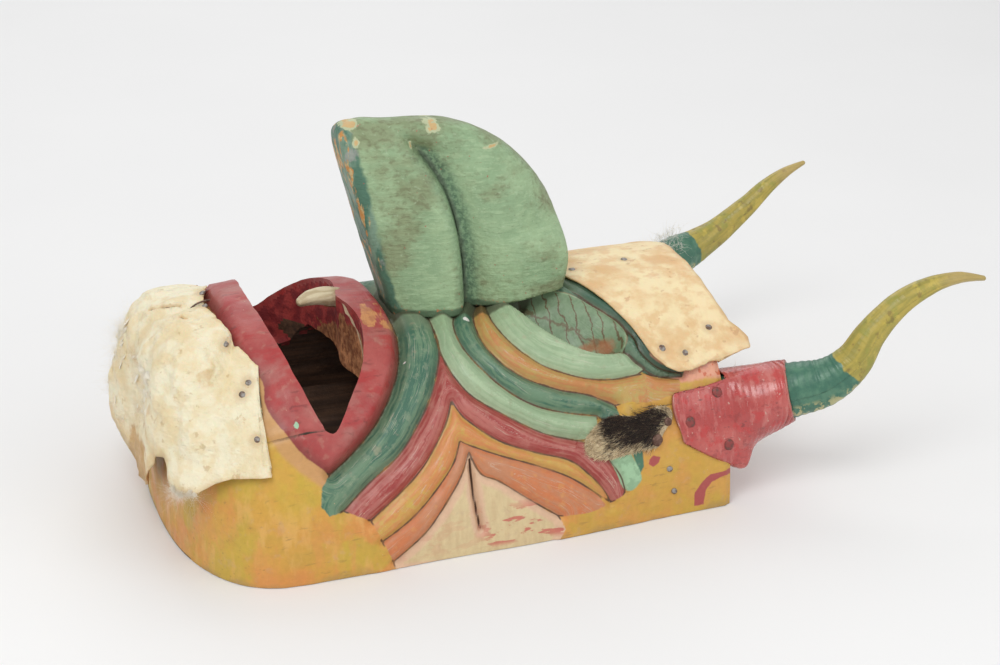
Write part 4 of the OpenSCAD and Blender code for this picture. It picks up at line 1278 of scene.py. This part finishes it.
for side, sign in (("right", -1), ("left", 1)):
    place(build_horn(side, sign), horn_paint(), "horn", f"horn_{side}")
    grid = cuff_grid(sign)
    cuff = slab(f"leather_cuff_{side}", grid, 2.2)
    set_values(cuff, edge=edge_reach(grid, 0.9, 9))
    place(cuff, leather_paint(), "red_leather", f"cuff_{side}")

# ---------------------------------------------------------------- hair

def strands(name, roots, ways, lengths, radius, droop=0.25, curl=0.25, steps=6, slots=None, seed=1):
    """Fine tapering hairs. Each starts at its root, sets off along its way and bends as it goes."""
    rng = np.random.default_rng(seed)
    count = len(roots)
    ways = ways / np.linalg.norm(ways, axis=1)[:, None]
    bend = rng.normal(size=(count, 3)) * curl
    bend[:, 2] -= droop
    sway = rng.normal(size=(count, 3)) * curl * 0.5
    t = np.linspace(0, 1, steps)
    line = roots[:, None] + lengths[:, None, None] * (ways[:, None] * t[None, :, None] + bend[:, None]
                                                      * (t ** 2)[None, :, None] + sway[:, None]
                                                      * np.sin(t * 6.3)[None, :, None] * 0.35)
    way = np.gradient(line, axis=1)
    way /= np.maximum(1e-9, np.linalg.norm(way, axis=2))[..., None]
    side = np.cross(way, rng.normal(size=(count, 1, 3)))
    side /= np.maximum(1e-9, np.linalg.norm(side, axis=2))[..., None]
    rise = np.cross(way, side)
    width = radius * (1.02 - t ** 2)[None, :, None]
    around = np.arange(3) * 2 * np.pi / 3
    ring = (line[:, :, None] + (width * side)[:, :, None] * np.cos(around)[None, None, :, None]
            + (width * rise)[:, :, None] * np.sin(around)[None, None, :, None])
    points = ring.reshape(-1, 3)
    one = np.array([(i * 3 + k, i * 3 + (k + 1) % 3, (i + 1) * 3 + (k + 1) % 3, (i + 1) * 3 + k)
                    for i in range(steps - 1) for k in range(3)])
    quads = (one[None] + (np.arange(count) * steps * 3)[:, None, None]).reshape(-1, 4)
    ends = [(i * steps * 3 + 2, i * steps * 3 + 1, i * steps * 3) for i in range(count)]
    ends += [(i * steps * 3 + steps * 3 - 3, i * steps * 3 + steps * 3 - 2, i * steps * 3 + steps * 3 - 1)
             for i in range(count)]
    obj = make_mesh(name, points, quads.tolist() + ends)
    if slots is not None:
        index = np.concatenate([np.repeat(slots, len(one)), slots, slots]).astype(np.int32)
        obj.data.polygons.foreach_set("material_index", index)
    return obj


def hair_material(name, colour, rough=0.6, glow=0.0):
    m = Paint(name)
    rough = m.ramp(m.noise(6, 3), 0.3, 0.7, rough - 0.12, rough + 0.12)
    return m.finish(colour, rough, Subsurface_Weight=glow, Subsurface_Scale=0.01,
                    Subsurface_Radius=(1, 1, 0.96), Sheen_Weight=glow, Sheen_Roughness=0.6)


def beard_wool():
    """Loose white wool where the hair side of the chin's hide turns out: soft tufts with a few fine ends."""
    rng = np.random.default_rng(11)
    rows, cols = beard.shape[:2]
    tufts, roots, ways, lengths = [], [], [], []
    for count, (deg_lo, deg_hi), (t_lo, t_hi), (r_lo, r_hi), ends in (
            (60, (-38, -8), (0.0, 0.34), (2, 5), 24),
            (30, (-3, 12), (0.08, 0.3), (1.5, 4), 30),
            (14, (31, 41), (0.0, 0.01), (1.5, 3), 50),
            (20, (-74, -40), (0.0, 0.06), (2, 4), 30)):
        for _ in range(count):
            k = int((HIDE_TURN - rng.uniform(deg_lo, deg_hi)) / (2 * HIDE_TURN) * (cols - 1))
            i = int(rng.uniform(t_lo, t_hi) * (rows - 1))
            r = rng.uniform(r_lo, r_hi)
            out = beard[i, k] - (60, 0, 90)
            out = out / np.linalg.norm(out)
            lat, lon = np.mgrid[0.02:np.pi - 0.02:20j, 0:2 * np.pi:29j][:, :, :-1]
            ball = np.stack([np.sin(lat) * np.cos(lon), np.sin(lat) * np.sin(lon), np.cos(lat)],
                            -1).reshape(-1, 3)
            spread = ball * r * rng.uniform(0.6, 1.4, 3)
            spread -= (spread @ out)[:, None] * out * 0.82
            seed = int(rng.integers(1, 900))
            puff = 1 + 0.4 * noise3(spread, 8, seed, 2)
            spread = beard[i, k] + out * r * 0.15 + spread * puff[:, None]
            tufts.append((spread, closed_faces(20, 28)))
            pick = rng.integers(0, len(ball), ends)
            roots.append(spread[pick])
            ways.append(out * 0.5 + (-0.3, 0, -0.2) + rng.normal(size=(len(pick), 3)) * 0.7)
            lengths.append(rng.uniform(1.0, 4.4, ends) * r)
    roots, ways, lengths = np.concatenate(roots), np.concatenate(ways), np.concatenate(lengths)
    room = np.minimum(roots[:, 0] + 50, 196 - np.abs(roots[:, 1]))
    lengths = np.minimum(lengths, np.maximum(1, room / 3))
    soft = gather("beard_wool", tufts)
    return soft, strands("beard_wool_ends", roots, ways, lengths, 0.055, 0.0, 0.8, steps=9, seed=12)


WOOL = hair_material("wool_white", (0.97, 0.87, 0.66), 0.85, 0.7)
for piece in beard_wool():
    place(piece, [WOOL], "pale_fur")


def horn_foot_hair():
    """Pale hair left round the far and near horns' feet and at the forehead hide's back edge."""
    rng = np.random.default_rng(17)
    roots, ways, lengths = [], [], []
    for sign, count, away in ((1, 300, 24), (1, 260, 30), (-1, 90, 10)):
        turn = rng.uniform(0.2, 2.6, count)
        x = rng.uniform(490, 560, count) if sign > 0 else rng.uniform(482, 500, count)
        y = sign * (np.interp(x, [490, 560], [124, 158]) + 20 * np.cos(turn))
        z = np.interp(x, [490, 560], [92, 107]) + away * np.sin(turn)
        roots.append(np.column_stack([x, y, z]))
        ways.append(np.column_stack([0.3 + 0 * x, sign * np.cos(turn), np.sin(turn)])
                    + rng.normal(size=(count, 3)) * 0.6)
        lengths.append(rng.uniform(5, 13, count))
    return strands("horn_foot_hair", np.concatenate(roots), np.concatenate(ways), np.concatenate(lengths),
                   0.15, 0.15, 0.5, seed=18)


place(horn_foot_hair(), [WOOL], "pale_fur")


def side_point(x, z, sign, out):
    """A point on the block's side wall, out in front of it."""
    y = half_w(x) * np.maximum(0, 1 - (z / height(x)) ** ARCH_Z) ** (1 / ARCH_Y)
    e = 0.5
    y2 = half_w(x) * np.maximum(0, 1 - ((z + e) / height(x)) ** ARCH_Z) ** (1 / ARCH_Y)
    n = np.stack([0 * x, np.full_like(x, e), y - y2], -1)
    n /= np.linalg.norm(n, axis=-1)[..., None]
    p = np.stack([x, y, z], -1) + n * np.asarray(out)[..., None]
    return p * (1, sign, 1), n * (1, sign, 1)


def side_heads(places, sign, out, high, seed):
    """Nail heads on the block's side, each with its x, z and radius."""
    heads = []
    for i, (x, z, r) in enumerate(places):
        p, n = side_point(np.array([float(x)]), np.array([float(z)]), sign, out)
        heads.append(dome(p[0], n[0], r, high, i + seed))
    return heads


FUR_OUTLINE = smooth_curve([(336, 84), (348, 93), (364, 97), (386, 94), (404, 98), (417, 95), (418, 86),
                            (408, 76), (402, 66), (386, 66), (366, 64), (350, 64), (338, 69), (334, 76),
                            (336, 84)], 6)


def temple_fur(side, sign):
    rng = np.random.default_rng(23)
    cols, rings = 64, 14
    middle = np.array([376, 80.0])
    ring = np.linspace(0, len(FUR_OUTLINE) - 1, cols)
    outline = np.stack([np.interp(ring, np.arange(len(FUR_OUTLINE)), FUR_OUTLINE[:, k]) for k in (0, 1)], 1)
    parts = []
    for out in (0.5, 2.6):
        for f in np.linspace(1, 0.05, rings):
            xz = middle + (outline[:-1] - middle) * f
            parts.append(side_point(xz[:, 0], xz[:, 1], sign, out - 1.0 * (f > 0.97))[0])
    count = cols - 1
    size = rings * count
    faces = grid_faces(rings, count, wrap=True)
    faces.append(tuple(range(size - count, size)))
    under = [tuple(size + k for k in reversed(f)) for f in faces]
    sew = [(k, (k + 1) % count, size + (k + 1) % count, size + k) for k in range(count)]
    skin = make_mesh(f"temple_skin_{side}", np.concatenate(parts), faces + under + sew)

    total = 5200
    picks = rng.uniform((328, 54), (424, 106), (total * 2, 2))
    reach = region_distance(picks, FUR_OUTLINE)
    picks, reach = picks[reach > 0.6][:total], reach[reach > 0.6][:total]
    roots, n = side_point(picks[:, 0], picks[:, 1], sign, 2.4)
    spread = (picks - (424, 84)) / np.linalg.norm(picks - (424, 84), axis=1)[:, None]
    flow = np.column_stack([spread[:, 0], 0 * spread[:, 0], spread[:, 1] * 0.9])
    ways = flow * 1.0 + n * 0.26 + rng.normal(size=roots.shape) * 0.2
    pale = (picks[:, 0] < 352 + 26 * rng.random(len(picks))) | (reach < 2.5 + 4 * rng.random(len(picks)))
    pale |= (picks[:, 1] < 74) & (picks[:, 0] < 392) & (rng.random(len(picks)) < 0.75)
    pale &= ~((picks[:, 1] > 84) & (picks[:, 0] > 355) & (picks[:, 0] < 404))
    lengths = np.where(pale, rng.uniform(3, 5.5, len(picks)), rng.uniform(5, 14, len(picks)))
    slots = np.where(pale, rng.integers(2, 4, len(picks)), rng.integers(0, 2, len(picks)))
    fur = strands(f"temple_fur_{side}_hair", roots, ways, lengths, 0.22, 0.08, 0.12, 5, slots, 24)
    return skin, fur


FUR_MATERIALS = [hair_material(f"fur_{name}", colour, rough) for name, colour, rough in (
    ("black", (0.03, 0.022, 0.018), 0.5), ("brown", (0.08, 0.05, 0.035), 0.5),
    ("cream", (0.84, 0.7, 0.46), 0.6), ("tan", (0.55, 0.42, 0.25), 0.6))]


def skin_paint():
    m = Paint("temple_skin")
    colour = m.blotch((0.6, 0.5, 0.32), (0.34, 0.24, 0.15), 6, 0.4, 0.62)
    return m.finish(colour, 0.7, m.noise(2, 4), 0.5)


for side, sign in (("right", -1), ("left", 1)):
    skin, fur = temple_fur(side, sign)
    place(skin, skin_paint(), "dark_fur", f"temple_fur_{side}")
    place(fur, FUR_MATERIALS, "dark_fur")
    heads = side_heads(((413, 85, 3.6), (401, 72, 5.0)), sign, 3.4, 1.5, 4)
    place(gather(f"temple_nails_{side}", heads), RUSTY, "tack_iron", f"temple_tacks_{side}")
    grid = cuff_grid(sign).reshape(-1, 3)
    heads = []
    for i, (x, z) in enumerate(((463, 102), (434, 82), (469, 58))):
        at = grid[np.argmin(np.hypot(grid[:, 0] - x, grid[:, 2] - z) + 0.5
                            * (130 - np.abs(grid[:, 1])).clip(0))]
        _, n = side_point(np.array([float(x)]), np.array([float(z)]), sign, 0.0)
        heads.append(dome(at + n[0] * 1.1, n[0], 4.6, 2.0, i + 9))
    place(gather(f"cuff_nails_{side}", heads), painted_nail(), "red_leather", f"cuff_tacks_{side}")

heads = side_heads(((412, 45, 2.6), (416, 24, 2.6)), -1, 1.0, 1.0, 14)
place(gather("near_side_nails", heads), IRON, "tack_iron", "side_nails")

# ---------------------------------------------------------------- tooth, wire and wood pins

def build_tooth():
    """One carved fang, lying forward over the mouth from its root in the upper lip."""
    axis = smooth_curve([(131, 16, 172), (137, 16, 174.5), (146, 16.5, 176), (155, 17, 175.5),
                         (163, 17.5, 174), (170, 18, 172)], 10)
    along = np.linspace(0, 1, len(axis))
    sizes = np.interp(along, [0, 0.05, 0.3, 0.7, 0.93, 1], [2.4, 4.2, 8.0, 10.2, 9.4, 7.5])

    def shape(i, turn):
        flat = 0.2 * np.abs(np.sin(turn))
        return 1 + 0.06 * np.cos(3 * turn + along[i] * 2) + 0.04 * np.sin(5 * turn) - flat

    points = sweep(axis, sizes, 48, shape)
    points += 0.6 * noise3(points, 9, 111, 2)[:, None]
    tooth = make_mesh("carved_tooth", points, closed_faces(len(axis), 48))
    set_values(tooth, root=points[:, 0])
    return tooth


def tooth_paint():
    m = Paint("tooth_wood")
    grain = m.noise(4, 5, (5, 1, 1))
    colour = m.mix(m.ramp(grain, 0.4, 0.62), (0.66, 0.57, 0.38), (0.5, 0.4, 0.24))
    root = m.ramp(m.value("root") + m.noise(6, 4) * 9, 172, 177)
    colour = m.mix(root, colour, (0.3, 0.12, 0.06))
    return m.finish(colour, m.ramp(m.noise(8, 3), 0.3, 0.7, 0.4, 0.6), grain, 0.5)


place(build_tooth(), tooth_paint(), "tooth_wood", "upper_tooth")


def wire():
    data = bpy.data.curves.new("bent_wire", "CURVE")
    data.dimensions = "3D"
    data.bevel_depth = 0.8 * MM
    data.bevel_resolution = 4
    spline = data.splines.new("BEZIER")
    lift = beard_points[np.argmin(np.hypot(beard_points[:, 0] - 44, beard_points[:, 1] - 2))][2]
    path = [(30, -5, lift - 3.5), (38, -1, lift + 1), (47, 2, lift + 2.2), (52, 6, lift + 0.5)]
    spline.bezier_points.add(len(path) - 1)
    for point, at in zip(spline.bezier_points, path):
        point.co = [v * MM for v in at]
        point.handle_left_type = point.handle_right_type = "AUTO"
    obj = bpy.data.objects.new("bent_wire", data)
    bpy.context.scene.collection.objects.link(obj)
    obj.data.materials.append(RUSTY)
    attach(obj, "root")
    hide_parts("beard_wire")


wire()

for name in ("nose_pegs", "tooth_peg", "horn_plug_left", "horn_plug_right"):
    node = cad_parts[name]
    node.data.materials.clear()
    node.data.materials.append(bare_wood("pin_wood", (0.5, 0.3, 0.14), (0.3, 0.16, 0.07)))

# ---------------------------------------------------------------- camera, light and floor

def studio():
    scene = bpy.context.scene
    target = Vector((0.313, 0, 0.1245))
    turn, rise = math.radians(-20), math.radians(23.3)
    back = Vector((math.sin(turn) * math.cos(rise), -math.cos(turn) * math.cos(rise), math.sin(rise)))
    data = bpy.data.cameras.new("camera")
    data.lens = 76
    data.sensor_width = 36
    data.sensor_fit = "HORIZONTAL"
    data.clip_end = 50
    camera = bpy.data.objects.new("camera", data)
    camera.location = target + back * 1.9
    camera.rotation_euler = back.to_track_quat("Z", "Y").to_euler()
    scene.collection.objects.link(camera)
    scene.camera = camera

    far = 9000
    corners = [(-far, -far, -0.5), (far, -far, -0.5), (far, far, -0.5), (-far, far, -0.5)]
    floor = make_mesh("studio_floor", corners, [(0, 1, 2, 3)], False)
    m = Paint("floor_paper")
    grey = m.mix(m.noise(400, 2), (0.84, 0.84, 0.84), (0.88, 0.88, 0.88))
    floor.data.materials.append(m.finish(grey, 0.7))

    for name, place_at, size, power in (("key", (-0.9, -1.6, 2.6), 1.6, 39),
                                        ("fill", (1.9, -1.9, 1.7), 1.8, 12),
                                        ("back", (0.6, 2.2, 2.2), 2.2, 18)):
        light = bpy.data.lights.new(name, "AREA")
        light.size = size
        light.energy = power
        lamp = bpy.data.objects.new(name, light)
        lamp.location = place_at
        lamp.rotation_euler = (lamp.location - Vector((0.3, 0, 0.1))).to_track_quat("Z", "Y").to_euler()
        scene.collection.objects.link(lamp)

    world = bpy.data.worlds.new("studio")
    world.use_nodes = True
    world.node_tree.nodes["Background"].inputs["Color"].default_value = (1, 1, 1, 1)
    world.node_tree.nodes["Background"].inputs["Strength"].default_value = 0.62
    scene.world = world
    scene.view_settings.view_transform = "Standard"


studio()
